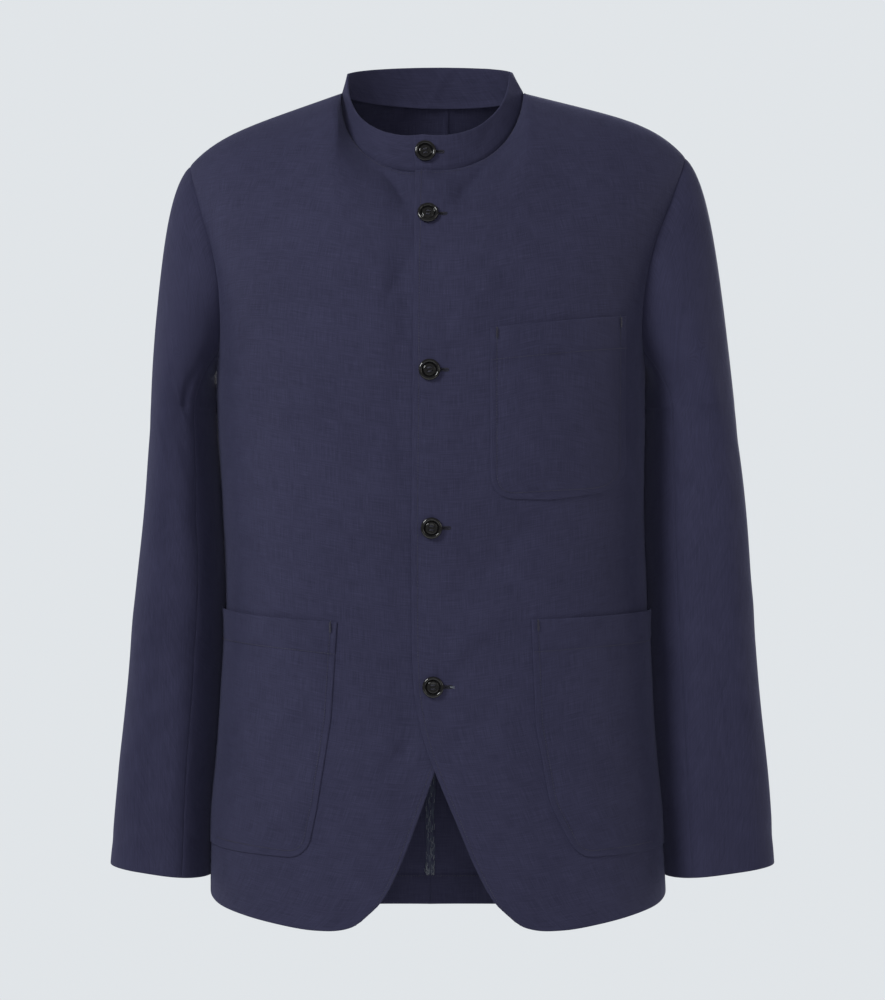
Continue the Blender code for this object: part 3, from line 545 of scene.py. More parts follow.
def linenMaterial(name, frayed=False):
    # plain weave on the cut's own UV, with slubs along both yarns
    made, tree, shader = surface(
        name, linen["light"], linen["roughness"],
        Sheen_Weight=0.14, Sheen_Roughness=0.42, Specular_IOR_Level=0.2, Sheen_Tint=linen["sheenTint"],
    )
    dark, light, slubColour, fuzzColour = [(*linen[n], 1) for n in ("dark", "light", "slubColour", "fuzz")]
    start = Value(tree, None)
    cut = start.node("ShaderNodeUVMap", {}, uv_map="cut")
    place = start.node("ShaderNodeTexCoord", {}, output=3)
    across, up = cut.part(0), cut.part(1)
    sway = (cut.noise(18.0, 2.0) - 0.5) * 0.0012
    turn = 2 * math.pi / linen["pitch"]
    warp = ((across + sway) * turn).sin()
    weft = ((up + sway) * turn).sin()
    weave = warp * weft  # over and under
    yarns = warp * warp + weft * weft
    slubUp = (cut.stretched(1300, 48, 1).noise(1.0, 2.0, 0.6) - 0.5) * 2
    slubAcross = (cut.stretched(40, 1200, 1).noise(1.0, 2.0, 0.6) - 0.5) * 2
    threads = slubUp + slubAcross
    cloud = place.noise(9.0, 3.0, 0.55) - 0.5
    wear = place.noise(46.0, 3.0, 0.6) - 0.5
    amount = (0.46 + threads * 0.48 + weave * 0.2 + cloud * 0.36 + wear * 0.34).clamp()
    colour = amount.mixed(dark, light)
    stray = ((threads - 0.55) * 3).clamp()
    colour = (stray * 0.55).mixed(colour, slubColour)
    if frayed:
        fuzz = (cut.stretched(700, 90, 1).noise(1.0, 3.0, 0.65) - 0.42) * 4
        colour = (fuzz.clamp() * (1.0 - up * 2.6).clamp() * 0.8).mixed(colour, fuzzColour)
    tree.links.new(colour.socket, shader.inputs["Base Color"])
    height = weave * 0.5 + yarns * 0.25 + threads * 0.8
    crumple, soft = place.noise(130.0, 3.0, 0.55), place.noise(34.0, 2.0, 0.5)
    below = {}
    for shape, strength, depth in ((height, 0.55, "weave"), (crumple, 0.45, "crumple"), (soft, 0.5, "soft")):
        inputs = {"Height": shape, "Strength": strength, "Distance": linen[depth + "Relief"], **below}
        relief = start.node("ShaderNodeBump", inputs)
        below = {"Normal": relief}
    tree.links.new(relief.socket, shader.inputs["Normal"])
    return made


linenCloth = linenMaterial("navyLinen")
tapeCloth = linenMaterial("navyTape", frayed=True)
# navy thread, painted darker than the cloth's darkest tone: the stitches carry painted shade that stands for
# the shadow in their grooves
threadNavyPaintedShade = surface("navyThreadPaintedShade", (0.013, 0.0132, 0.029), 0.6, Sheen_Weight=0.2)[0]
threadPale = surface("paleThread", (0.20, 0.23, 0.26), 0.7, Sheen_Weight=0.3)[0]
threadHole = surface("buttonholeThread", (0.012, 0.012, 0.020), 0.55)[0]
# the buttonhole slits are a near-black sheet: painted shade where the cut opens
slitPaintedShade = surface("slitShadow", (0.004, 0.004, 0.006), 0.9)[0]
hornBlack = surface("blackButton", (0.005, 0.005, 0.0055), 0.14, Coat_Weight=0.5, Coat_Roughness=0.04)[0]
print("materials made")

# the two fronts and the two backs
panel = {
    "neckColumns": 30, "shoulderColumns": 34, "lowRows": 112, "highRows": 46, "wall": 1.2,
    "halfWidth": 330.0, "lowLength": 520.0, "highLength": 230.0,  # about, to set the grid's pitch
    "frontStitch": 6.0, "turnUp": 30.0,  # mm from the front edge and from the hem
    "turnUpLayer": 0.45, "stitchDepth": 0.28, "turnUpStitchDepth": 0.06,
}


def panelGrid(side, face):
    # rows of points from the hem to the shoulder, each from the middle to the side
    zHem = hem[face]
    startTop = float(edgeShare(1.0, side) * side) if face < 0 else 0.0
    atNeck = (neck["share"] - startTop) / (1 - startTop)
    width = panel["halfWidth"]
    sewnAt = [panel["frontStitch"] + n for n in (-1.5, 0, 1.5)] if face < 0 else []
    shares = dense(0, atNeck, panel["neckColumns"], width, nearEnd=False, more=sewnAt)
    shares = np.concatenate([shares, dense(atNeck, 1, panel["shoulderColumns"], width, nearStart=False)[1:]])
    turned = [panel["turnUp"] + n for n in (-1.2, -0.3, 0.6, 1.6)]
    low = dense(0, 1, panel["lowRows"], panel["lowLength"], nearEnd=False, more=turned)[:-1]
    high = dense(0, 1, panel["highRows"], panel["highLength"], nearStart=False)
    drop = passThrough(*zHem, shares) - mix(zHem[1][0], zHem[1][-1], shares)
    us, hs = [], []
    for up in low:
        first, last = [mix(zHem[1][k], body["armpit"], up) - body["armpit"] for k in (0, -1)]
        us.append((edgeShare(first, side) if face < 0 else 0.0, side))
        hs.append(mix(first, last, shares) + drop * (1 - up))
    for up in high:
        armOut, armUp = armholeAt(face, up)
        us.append((edgeShare(up, side) if face < 0 else 0.0, side * armOut))
        hs.append(mix(up, armUp, shares))
    us = np.array(us, float)
    u, h = mix(us[:, :1], us[:, 1:], shares[None, :]), np.array(hs)
    plain = plainBody(u, h, face)
    under = lapDepth(plain[..., 0], plain[..., 2], side) if face < 0 else np.zeros(u.shape)
    return bodyPoint(u, h, face, under), bodySlant(u, h, face)


def hemTurnUp(ends):
    # the folded hem is one more layer inside, with a soft ledge at its sewn edge
    inset = ends[0, 0]
    return panel["turnUpLayer"] * soften((panel["turnUp"] + 0.8 - inset) / 1.6) * roundOff(inset, 1.5)


panels = {}
for face, words in ((-1, "front"), (1, "back")):
    for side, hand in ((1, "Left"), (-1, "Right")):
        grid, slants = panelGrid(side, face)
        seams = [(1, 1), (0, 1)] + ([(1, 0)] if face > 0 else [])
        folds = [(0, 0)] + ([(1, 0)] if face < 0 else [])
        if face < 0:
            stitchAt = ((1, 0), panel["frontStitch"], panel["stitchDepth"])
        else:
            stitchAt = ((0, 0), panel["turnUp"], panel["turnUpStitchDepth"])
        piece, outer, inner = clothShell(
            words + hand, grid, slants, panel["wall"], linenCloth, seams, folds, [stitchAt], hemTurnUp,
        )
        panels[face, side] = {"outer": outer, "inner": inner, "slants": slants, "piece": piece}
print("fronts and backs made:", panels[-1, 1]["outer"].shape, panels[1, 1]["outer"].shape)

# two-piece sleeves
sleeve = {
    "z": (-738, -650, -560, -470, -386, -300),  # heights of the rings, cuff to underarm
    1: {
        "inner": (222.5, 216.0, 210.0, 205.5, 202.5, 205.5),
        "outer": (324.0, 317.5, 309.0, 302.0, 296.0, 286.0),
        "skew": (18.0, 19.0, 20.0, 20.0, 20.0, 16.0),
    },
    -1: {
        "inner": (216.0, 211.5, 204.0, 201.5, 204.5, 211.5),
        "outer": (308.0, 300.5, 291.0, 282.5, 274.5, 269.5),
        "skew": (18.0, 19.0, 20.0, 18.0, 16.0, 12.0),
    },
    "front": (-45.0, -49.0, -53.0, -56.0, -58.0, -60.0),
    "back": (45.0, 53.0, 61.0, 68.0, 74.0, 80.0),
    "tilt": (7.0, 6.0, 5.0, 3.0, 2.0, 0.0),
    "seams": (144.0, 252.0),  # degrees from the outer side by the front
    "capOut": (0.48, 0.73), "capForward": 0.42, "capDown": (0.72, 0.68),  # the way that its head leaves
    "capLeave": (0.9, 0.5), "capArrive": 1.05,
    "tuck": 2.2, "tuckDepth": 0.9,  # how far its head passes under the body's edge
    "broad": 15.0, "broadFrom": 90.0, "broadOver": 120.0,  # the flat inner front, in mm and degrees
    "innerFull": 3.0, "innerMiddle": 200.0, "innerSpread": 40.0,  # the side that faces the body
    "underarmFull": 1.8, "underarmZ": -278.0, "underarmSpread": 32.0,
    "creaseShare": 0.62, "girth": 55.0,  # girth is the radius that turns degrees into mm
    "cuffTurnUp": 28.8, "cuffLayer": 0.9, "capLength": 215.0,
    "capRows": 46, "armRows": 92, "topColumns": 66, "underColumns": 30,
}
sleeveCreases = {  # angle, z, angle, z, soft width, depth, sharpness of one flank
    1: (
        (84, -150, 88, -300, 14, 2.5, 0),
        (128, -300, 60, -345, 12, -2.6, 0),
        (135, -372, 70, -404, 13, -2.4, 0),
        (120, -520, 60, -585, 15, 2.2, 0),
        (230, -380, 300, -430, 15, -2.6, 0),
        (250, -470, 320, -540, 16, -2.2, 0),
        (108, -250, 96, -360, 7, 1.4, 1),
        (120, -318, 76, -350, 5, -1.7, 1),
        (118, -392, 66, -424, 6, -1.3, -1),
        (100, -430, 50, -470, 9, 1.0, 0),
        (126, -600, 72, -650, 8, -1.4, 1),
        (110, -660, 60, -700, 9, 1.1, 0),
        (70, -690, 20, -712, 10, -1.0, 0),
        (30, -330, -30, -380, 14, -1.2, 0),
        (300, -340, 250, -400, 9, -1.4, 1),
        (40, -480, -20, -520, 16, 1.0, 0),
        (300, -600, 240, -660, 12, -1.3, 0),
        (60, -110, 70, -200, 14, -1.1, 0),
    ),
    -1: (
        (116, -310, 140, -404, 14, -2.6, 0),
        (94, -185, 138, -275, 12, 2.6, 0),
        (112, -420, 138, -530, 14, -2.0, 0),
        (100, -400, 60, -470, 14, -1.2, 0),
        (125, -560, 55, -640, 16, 2.2, 0),
        (110, -650, 60, -700, 14, -2.0, 0),
        (235, -372, 300, -424, 15, -2.6, 0),
        (250, -480, 315, -550, 16, -2.2, 0),
        (108, -222, 130, -296, 7, -1.6, 1),
        (112, -330, 136, -392, 8, 1.3, 0),
        (110, -480, 60, -530, 9, 1.2, 0),
        (118, -600, 70, -640, 7, -1.4, 1),
        (80, -690, 30, -716, 9, -1.0, 0),
        (30, -320, -30, -370, 14, -1.2, 0),
        (296, -360, 250, -412, 9, -1.4, -1),
        (40, -500, -10, -540, 16, 1.0, 0),
        (60, -110, 70, -200, 14, -1.1, 0),
        (300, -610, 250, -670, 12, -1.3, 0),
    ),
}


def sleeveSwell(side, angle, z):
    scale = math.radians(1) * sleeve["girth"]
    rows = [
        (a0 * scale, z0, a1 * scale, z1, width, depth * sleeve["creaseShare"], lean)
        for a0, z0, a1, z1, width, depth, lean in sleeveCreases[side]
    ]
    far = np.mod(angle + 60, 360) - 60  # the creases are listed from -60 to 300 degrees
    swell = creaseDepth(rows, far * scale, z) + 0.6 * ripple(np.sin(np.radians(angle)) * 60, z, 5.0 + side)
    inside = 0.97 * hump(far, sleeve["innerMiddle"], sleeve["innerSpread"])
    underarm = sleeve["underarmFull"] * hump(z, sleeve["underarmZ"], sleeve["underarmSpread"])
    return mix(swell, sleeve["innerFull"] + underarm, inside)


def sleeveRing(side, z, angle):
    inner, outer, skew = [passThrough(sleeve["z"], sleeve[side][n], z) for n in ("inner", "outer", "skew")]
    front, back, tilt = [passThrough(sleeve["z"], sleeve[n], z) for n in ("front", "back", "tilt")]
    c, s = np.cos(np.radians(angle)), np.sin(np.radians(angle))
    half = np.sqrt(((outer - inner) / 2) ** 2 - skew**2)
    x = (inner + outer) / 2 + half * c + skew * s
    swell = sleeveSwell(side, angle, z)
    turn = np.clip((np.mod(angle, 360) - sleeve["broadFrom"]) / sleeve["broadOver"], 0, 1)
    broad = sleeve["broad"] * np.sin(turn * math.pi) ** 2
    y = (front + back) / 2 - (back - front) / 2 * s - s * swell - broad
    return vec(side * (x + c * swell), y, z + tilt * c)


def armholePoint(side, angle):
    # 0 degrees is the shoulder and 180 the armpit, by the front
    angle = np.mod(angle, 360)
    found = []
    for face, up in ((-1, np.clip(1 - angle / 180, 0, 1)), (1, np.clip(angle / 180 - 1, 0, 1))):
        armOut, armUp = armholeAt(face, up)
        low = 1 - soften(up / 0.15)
        u = side * (armOut - sleeve["tuck"] / panel["halfWidth"] * (1 - low))
        rise = armUp * 200 - sleeve["tuck"] * low  # the armhole is about 200 mm high
        h = np.where(rise > 0, rise / 200, rise)
        depth = sleeve["tuckDepth"] * (1 - 0.75 * soften((up - 0.8) / 0.2))
        found.append(bodyPoint(u, h, face) - bodySlant(u, h, face) * depth[:, None])
    return np.where((angle <= 180)[:, None], found[0], found[1])


def sleeveGrid(side, angles):
    top, cuff = sleeve["z"][-1], sleeve["z"][0]
    start = armholePoint(side, angles)
    c, s = np.cos(np.radians(angles)), np.sin(np.radians(angles))
    outer = (1 + c) / 2
    end = sleeveRing(side, np.full(angles.shape, top), angles)
    out, down = mix(*sleeve["capOut"], outer), mix(*sleeve["capDown"], outer)
    leave = unit(vec(side * out, -sleeve["capForward"] * s, -down))
    arrive = unit(sleeveRing(side, np.full(angles.shape, top - 10.0), angles) - end)
    span = np.linalg.norm(end - start, axis=1, keepdims=True)
    pull = mix(*sleeve["capLeave"], outer)[:, None]
    rows = []
    for share in dense(0, 1, sleeve["capRows"], sleeve["capLength"], nearEnd=False)[:-1]:
        shares = np.full(angles.shape, share)
        point = bend(start, leave * span * pull, end, arrive * span * sleeve["capArrive"], shares)
        swell = sleeveSwell(side, angles, point[:, 2]) * soften(share * 1.5) * share
        rows.append(point + vec(side * c, -s, 0) * swell[:, None])
    for share in dense(0, 1, sleeve["armRows"], top - cuff, nearStart=False):
        rows.append(sleeveRing(side, np.full(angles.shape, mix(top, cuff, share)), angles))
    return np.array(rows)


def gridSlants(grid, sign):
    up = np.gradient(grid, axis=0)
    across = np.gradient(grid, axis=1)
    return unit(np.cross(up, across) * sign)


def cuffTurnUp(ends):
    inset = ends[0, 1]
    return sleeve["cuffLayer"] * soften((sleeve["cuffTurnUp"] - inset) / 1.6) * roundOff(inset, 1.5)


for side, hand in ((1, "Left"), (-1, "Right")):
    front, back = sleeve["seams"]
    spans = {
        "Top": (back - 360, front, sleeve["topColumns"]),
        "Under": (front, back, sleeve["underColumns"]),
    }
    for words, (first, last, count) in spans.items():
        reach = math.radians(last - first) * sleeve["girth"]
        angles = first + (last - first) * dense(0, 1, count, reach)
        # one column more at each side, so that the slants agree across the seams
        wide = np.concatenate([[angles[0] - 2], angles, [angles[-1] + 2]])
        grid = sleeveGrid(side, wide)
        slants = gridSlants(grid, -side)[:, 1:-1]
        piece, outer, inner = clothShell(
            "sleeve" + hand + words, grid[:, 1:-1], slants, panel["wall"], linenCloth,
            [(1, 0), (1, 1), (0, 0)], [(0, 1)], [], cuffTurnUp,
        )
        panels["sleeve" + words, side] = {"outer": outer, "inner": inner, "slants": slants, "piece": piece}
print("sleeves made")

# the stand collar, whose ends cross at the centre front
collar = {
    "front": (33.0, 5.0), "side": (18.5, 9.0), "back": (38.0, 5.0),  # height and lean
    "rimShift": -3.5, "wall": 2.2, "lapGap": 0.8, "stepStart": 330.0, "stepEnd": 345.0,
    "footDrop": 2.4, "footInset": 1.3, "footShare": 0.13,  # its foot passes inside the neckline
    "calmStart": 10.0, "calmOver": 14.0,  # degrees from the centre front without creases
    "girth": 1.37,  # mm a degree
    "length": 500.0, "height": 32.0,  # about, to set the grid's pitch
    "columns": 190, "rows": 14,
}
collarCreases = (  # as for the body, along and up the flat band
    (170, 4, 196, 30, 5, -0.8, 1),
    (214, 8, 236, 26, 5, 0.7, 0),
    (262, 6, 246, 30, 5, -0.8, -1),
    (300, 4, 322, 28, 5, -0.7, 0),
    (120, 4, 140, 24, 6, 0.6, 0),
    (44, 6, 70, 24, 7, -0.6, 0),
    (470, 4, 446, 26, 7, -0.6, 0),
    (352, 6, 372, 26, 6, 0.6, 0),
)


def collarPoint(turn, up):
    # turn goes once round from the centre front by the wearer's left, and on under that end
    around = np.mod(turn, 360)
    side = np.where(around <= 180, 1, -1)
    around = np.where(around <= 180, around, 360 - around)
    share = abs(np.cos(np.radians(around)))
    ahead = around <= 90
    base = np.where(ahead[..., None], neckline(around, side, -1), neckline(180 - around, side, 1))
    height, lean = [
        mix(collar["side"][k], np.where(ahead, collar["front"][k], collar["back"][k]), share) for k in (0, 1)
    ]
    inward = unit(vec(neck["x"] - base[..., 0], neck["y"] - base[..., 1], 0))
    point = base + vec(collar["rimShift"] * up, 0, height * up + 0.2) + inward * (lean * up)[..., None]
    under = soften((turn - collar["stepStart"]) / (collar["stepEnd"] - collar["stepStart"]))
    swell = creaseDepth(collarCreases, turn * collar["girth"], up * height)
    swell = swell + 0.25 * ripple(turn * 1.4, up * 30, 9.0)
    calm = soften((abs(np.mod(turn + 180, 360) - 180) - collar["calmStart"]) / collar["calmOver"])
    foot = 1 - soften(up / collar["footShare"])
    point = point - vec(0, 0, collar["footDrop"] * foot)
    inset = (collar["wall"] + collar["lapGap"]) * under + collar["footInset"] * foot * mix(-0.9, 1.0, share)
    return point + inward * (inset - swell * calm)[..., None]


firstTurn = 90 * float(edgeShare(1.0, 1)) / neck["share"]
lastTurn = 360 + 90 * float(edgeShare(1.0, -1)) / neck["share"]
turns = firstTurn + (lastTurn - firstTurn) * dense(0, 1, collar["columns"], collar["length"])
ups = dense(0, 1, collar["rows"], collar["height"], near=(0.5, 1.2, 2.2, 3.2, 4.2))
grid = collarPoint(*np.meshgrid(turns, ups))
slants = gridSlants(grid, -1)
slants[0] = unit(slants[0] * (1, 1, 0))  # its foot stands upright
edges = [(0, 1), (1, 0), (1, 1)]
piece, outer, inner = clothShell("collarBand", grid, slants, collar["wall"], linenCloth, [(0, 0)], edges)
panels["collar"] = {"outer": outer, "inner": inner, "slants": slants, "piece": piece}
print("collar made")

# patch pockets, laid on the fronts by their outline as seen from the front
pockets = {
    "wall": 1.0, "lift": 0.3, "inset": 6.0, "hemDepth": 30.0, "arcSteps": 8, "rows": 44, "columns": 30,
    "bulge": 0.7, "gape": 1.3, "groove": 0.6, "hemGroove": 0.3, "hemStep": 0.35,
    "sideShare": 0.996,  # where the skirt pockets end in the side seams
    "Chest": {
        "size": (132.0, 165.0), "side": 1,
        "corners": (  # x, z, radius: the mouth's two ends, then round by the bottom
            (52, -227, 0), (179.5, -213.5, 0), (179.5, -377, 40), (110, -386, 80), (52, -385, 24),
        ),
        "bottom": (4, 3, 2), "inner": (4,), "outer": (2,),
    },
    "Right": {
        "size": (170.0, 225.0), "side": -1,
        "corners": (
            (-89, -498.5, 0), (-240, -484, 0), (-240, -707, 0),
            (-118, -719.5, 26), (-108, -672, 90), (-95, -588, 100),
        ),
        "bottom": (3, 2), "inner": (3, 4, 5), "outer": (),
    },
    "Left": {
        "size": (170.0, 225.0), "side": 1,
        "corners": (
            (90, -496.5, 0), (240, -487, 0), (240, -711, 0),
            (134, -719, 26), (108, -668, 80), (94, -594, 100),
        ),
        "bottom": (3, 2), "inner": (3, 4, 5), "outer": (),
    },
}


def cornerArcs(corners, steps):
    # each corner as points: one where it is sharp, and a curve where it is rounded
    arcsFound = []
    for k, (x, z, radius) in enumerate(corners):
        here = np.array((x, z), float)
        before, after = [np.array(corners[n % len(corners)][:2], float) for n in (k - 1, k + 1)]
        back, on = unit(before - here), unit(after - here)
        if radius == 0:
            arcsFound.append(here[None])
            continue
        half = math.acos(float(np.clip(back @ on, -1, 1))) / 2
        shorter = min(np.linalg.norm(before - here), np.linalg.norm(after - here))
        cut = min(radius / math.tan(half), 0.45 * shorter)
        s = np.linspace(0, 1, steps + 1)[:, None]
        start, end = here + back * cut, here + on * cut
        arcsFound.append(start * (1 - s) ** 2 + here * 2 * s * (1 - s) + end * s * s)
    return arcsFound


def placeAt(x, z):
    # the front's shares (u, h) where it shows at x, z from the front
    x, z = np.asarray(x, float), np.asarray(z, float)
    h = z - body["armpit"]
    above = z > body["armpit"]
    if above.any():
        ends = np.zeros(above.sum()), np.ones(above.sum())
        h[above] = halving(*ends, lambda m: plainBody(shareAt(x[above], m, -1), m, -1)[:, 2] < z[above], 20)
    return shareAt(x, h, -1), h


def lineDistance(points, chain):
    best = np.full(points.shape[:-1], 1e9)
    for a, b in zip(chain, chain[1:]):
        run = b - a
        way = np.clip(((points - a) @ run) / (run @ run), 0, 1)
        best = np.minimum(best, np.linalg.norm(points - a - way[..., None] * run, axis=-1))
    return best


def frontAt(points, lift):
    u, h = placeAt(points[:, 0], points[:, 1])
    return bodyPoint(u, h, -1) + bodySlant(u, h, -1) * lift, bodySlant(u, h, -1)


def makePocket(name, spec):
    side, corners = spec["side"], spec["corners"]
    width, length = spec["size"]
    found = cornerArcs(corners, pockets["arcSteps"])
    bottom = np.array([corners[k][:2] for k in (spec["bottom"][0], spec["bottom"][-1])], float)
    bottom = np.vstack([bottom[:1], *[found[k][::-1] for k in spec["bottom"][1:-1]], bottom[1:]])
    bottom = bottom[np.argsort(bottom[:, 0])]
    mouth = np.array([corners[0][:2], corners[1][:2]], float)
    mouth = mouth[np.argsort(mouth[:, 0])]

    def heightAt(x, share):
        return mix(np.interp(x, *bottom.T), np.interp(x, *mouth.T), share)

    def edgeX(chain, shares):
        # where the pocket's side edge is at these shares of the way up from the bottom to the mouth
        base, top = np.interp(chain[:, 0], *bottom.T), np.interp(chain[:, 0], *mouth.T)
        up = (chain[:, 1] - base) / (top - base)
        order = np.argsort(up)
        return np.interp(shares, up[order], chain[order, 0])

    hemAt = [1 - (pockets["hemDepth"] + n) / pockets["Right"]["size"][1] for n in (-1.2, 0, 1.2)]
    v = np.unique(np.concatenate([dense(0, 1, pockets["rows"], length), hemAt]))
    inset = pockets["inset"]
    shares = dense(0, 1, pockets["columns"], width, more=[inset - 1.5, inset, inset + 1.5, width - inset])
    inner = np.vstack([found[k] for k in spec["inner"]] + [found[0]])
    innerX = edgeX(inner, v)
    if spec["outer"]:
        outer = np.vstack([found[k][::-1] for k in spec["outer"]] + [found[1]])
        x = mix(innerX[:, None], edgeX(outer, v)[:, None], shares[None])
        u, h = placeAt(x, heightAt(x, v[:, None]))
        chain = np.vstack([inner[::-1], outer])
    else:
        u0, h0 = placeAt(innerX, heightAt(innerX, v))
        edge = ring("left" if side > 0 else "right", np.full(v.shape, -600.0)) * side
        h1 = heightAt(edge, v) - body["armpit"]
        u = mix(u0[:, None], side * pockets["sideShare"], shares[None])
        h = mix(h0[:, None], h1[:, None], shares[None])
        chain = np.vstack([inner[::-1], bottom[-1:] if side > 0 else bottom[:1]])
    flat = plainBody(u, h, -1)[..., [0, 2]]
    rim = lineDistance(flat, chain)
    fromMouth = lineDistance(flat, mouth)
    under = lapDepth(flat[..., 0], flat[..., 1], side)
    gape = pockets["gape"] * hump(fromMouth, 0, 16) * soften(rim / 40)
    bulge = pockets["bulge"] * soften(rim / 34) + gape
    groove = pockets["groove"] * hump(rim, inset, 1.2)
    groove = groove + pockets["hemGroove"] * hump(fromMouth, pockets["hemDepth"], 1.4)
    hemStep = pockets["hemStep"] * soften((pockets["hemDepth"] - fromMouth) / 2)
    seat = pockets["lift"] + pockets["wall"]
    grid, slants = bodyPoint(u, h, -1, under), bodySlant(u, h, -1)
    grid = grid + slants * (seat + bulge + hemStep - groove)[..., None]
    edges = [(0, 0), (0, 1), (1, 0)] + ([(1, 1)] if spec["outer"] else [])
    turnedRim = np.where(rim > 0.05, rim, 0) if spec["outer"] else None
    clothShell("pocket" + name, grid, slants, pockets["wall"], linenCloth, [], edges, rim=turnedRim)
    return chain, mouth


pocketLines = {name: makePocket(name, pockets[name]) for name in ("Chest", "Right", "Left")}
print("pockets made")

# binding over the centre back seam, inside, with its frayed lower end
binding = {
    "width": 9.0, "neckWidth": 5.2, "narrowFrom": -520.0, "narrowTo": -120.0,
    "lift": 0.85, "wall": 0.9, "stop": -757.0, "columns": 8,
    "seamRound": 3.0,  # the cloth beside the seam is rounded, so its slope is taken past this
}


def makeBinding():
    left, right = panels[1, 1], panels[1, -1]
    rows = []
    for r in range(left["inner"].shape[0]):
        seam = (left["inner"][r, 0] + right["inner"][r, 0]) / 2
        slant = unit(left["slants"][r, 0] + right["slants"][r, 0])
        narrow = soften((seam[2] - binding["narrowFrom"]) / (binding["narrowTo"] - binding["narrowFrom"]))
        width = mix(binding["width"], binding["neckWidth"], narrow)
        row = []
        for share in np.linspace(-1, 1, binding["columns"] + 1):
            line = (left if share > 0 else right)["inner"][r]
            past = binding["seamRound"]
            base, edge = alongChain(np.array([abs(share) * width / 2 + past, past]), chainArc(line), line)
            row.append(base - edge + seam - slant * binding["lift"])
        rows.append(row)
    grid = np.array(rows)
    keep = grid[:, 0, 2] > binding["stop"]
    keep[:2] = False
    grid = grid[keep]
    wave = 0.5 * np.sin(grid[..., 2] * 0.11) + 0.3 * np.sin(grid[..., 2] * 0.37)
    grid = grid + vec(wave, 0, 0)
    slants = -gridSlants(grid, 1)
    if slants[:, :, 1].mean() > 0:
        slants = -slants
    edges, stitchAt = [(1, 0), (1, 1), (0, 0), (0, 1)], [((1, 0), 1.6, 0.2), ((1, 1), 1.6, 0.2)]
    return clothShell("centreBackBinding", grid, slants, binding["wall"], tapeCloth, [], edges, stitchAt)[:2]


bindingPiece, bindingGrid = makeBinding()

# buttons, each where its own node stands
button = {
    "sides": 72,
    "profile": (  # radius, height
        (0.0, 0.0), (8.6, 0.0), (9.5, 0.5), (9.95, 1.2), (10.0, 2.0), (9.8, 2.7), (9.35, 3.2), (8.8, 3.5),
        (8.2, 3.55), (7.6, 3.35), (7.15, 2.9), (6.85, 2.3), (6.6, 1.6), (6.3, 1.35), (5.95, 1.5), (5.55, 2.0),
        (5.1, 2.25), (4.6, 2.25), (3.6, 2.0), (2.0, 1.8), (0.0, 1.75),
    ),
    "hole": 0.95, "holeOffset": 1.75, "holeSides": 16,
    "turns": (6, -8, 11, -4, 3),  # degrees that each one is turned, from the collar down
    "thread": 0.36, "strandGap": 0.28, "strandLow": 1.1, "strandRise": 1.35,
    "shank": 1.5, "shankTurns": 5, "shankFrom": -0.75, "shankTo": 0.3,
}


def finishedMesh(piece):
    bpy.context.view_layer.update()
    return bpy.data.meshes.new_from_object(piece.evaluated_get(bpy.context.evaluated_depsgraph_get()))


def buttonMesh():
    points, faces = [], []
    n = button["sides"]
    rings = []
    for radius, height in button["profile"]:
        if radius == 0:
            rings.append([len(points)])
            points.append((0, 0, height))
            continue
        rings.append(list(range(len(points), len(points) + n)))
        turns = [2 * math.pi * k / n for k in range(n)]
        points += [(radius * math.cos(turn), radius * math.sin(turn), height) for turn in turns]
    for a, b in zip(rings, rings[1:]):
        for k in range(n):
            on = (k + 1) % n
            if len(a) == 1:
                faces.append((a[0], b[on], b[k]))
            elif len(b) == 1:
                faces.append((a[k], a[on], b[0]))
            else:
                faces.append((a[k], a[on], b[on], b[k]))
    blank = newPiece("buttonBlank", points, faces, hornBlack)
    cutters = []
    for k in range(4):
        angle = math.radians(45 + 90 * k)
        shape = bmesh.new()
        drill = {"segments": button["holeSides"], "depth": 12 * mm}
        radii = {"radius1": button["hole"] * mm, "radius2": button["hole"] * mm}
        bmesh.ops.create_cone(shape, cap_ends=True, **drill, **radii)
        mesh = bpy.data.meshes.new("buttonHole")
        shape.to_mesh(mesh)
        shape.free()
        cutter = putInScene("buttonHole", mesh)
        cutter.location = Vector((math.cos(angle), math.sin(angle), 0)) * button["holeOffset"] * 2**0.5 * mm
        cut = blank.modifiers.new("hole", "BOOLEAN")
        cut.object = cutter
        cutters.append(cutter)
    done = finishedMesh(blank)
    for helper in (blank, *cutters):
        bpy.data.objects.remove(helper, do_unlink=True)
    done.shade_smooth()
    done.set_sharp_from_angle(angle=math.radians(38))
    return done


def buttonSeat(node):
    # the node's own back plane and axis
    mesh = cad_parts[node].data
    points = np.array([v.co for v in mesh.vertices]) / mm
    middle = points.mean(0)
    axes = np.linalg.svd(points - middle, full_matrices=False)[2]
    out = axes[2] if axes[2][1] < 0 else -axes[2]
    heights = (points - middle) @ out
    rim = points[heights < heights.min() + 0.2]
    across = unit(np.array((1.0, 0, 0)) - out * out[0])
    centre = points[np.abs(heights - heights.min() - 1.8) < 0.3].mean(0)
    base = centre - out * ((centre - rim.mean(0)) @ out)
    return base, across, unit(np.cross(out, across)), out


def placed(points, seat, turn=0.0):
    # points about a button's own middle, set on its seat
    base, across, up, out = seat
    c, s = math.cos(turn), math.sin(turn)
    points = np.asarray(points, float)
    x, y = points[:, 0] * c - points[:, 1] * s, points[:, 0] * s + points[:, 1] * c
    return base + x[:, None] * across + y[:, None] * up + points[:, 2:] * out


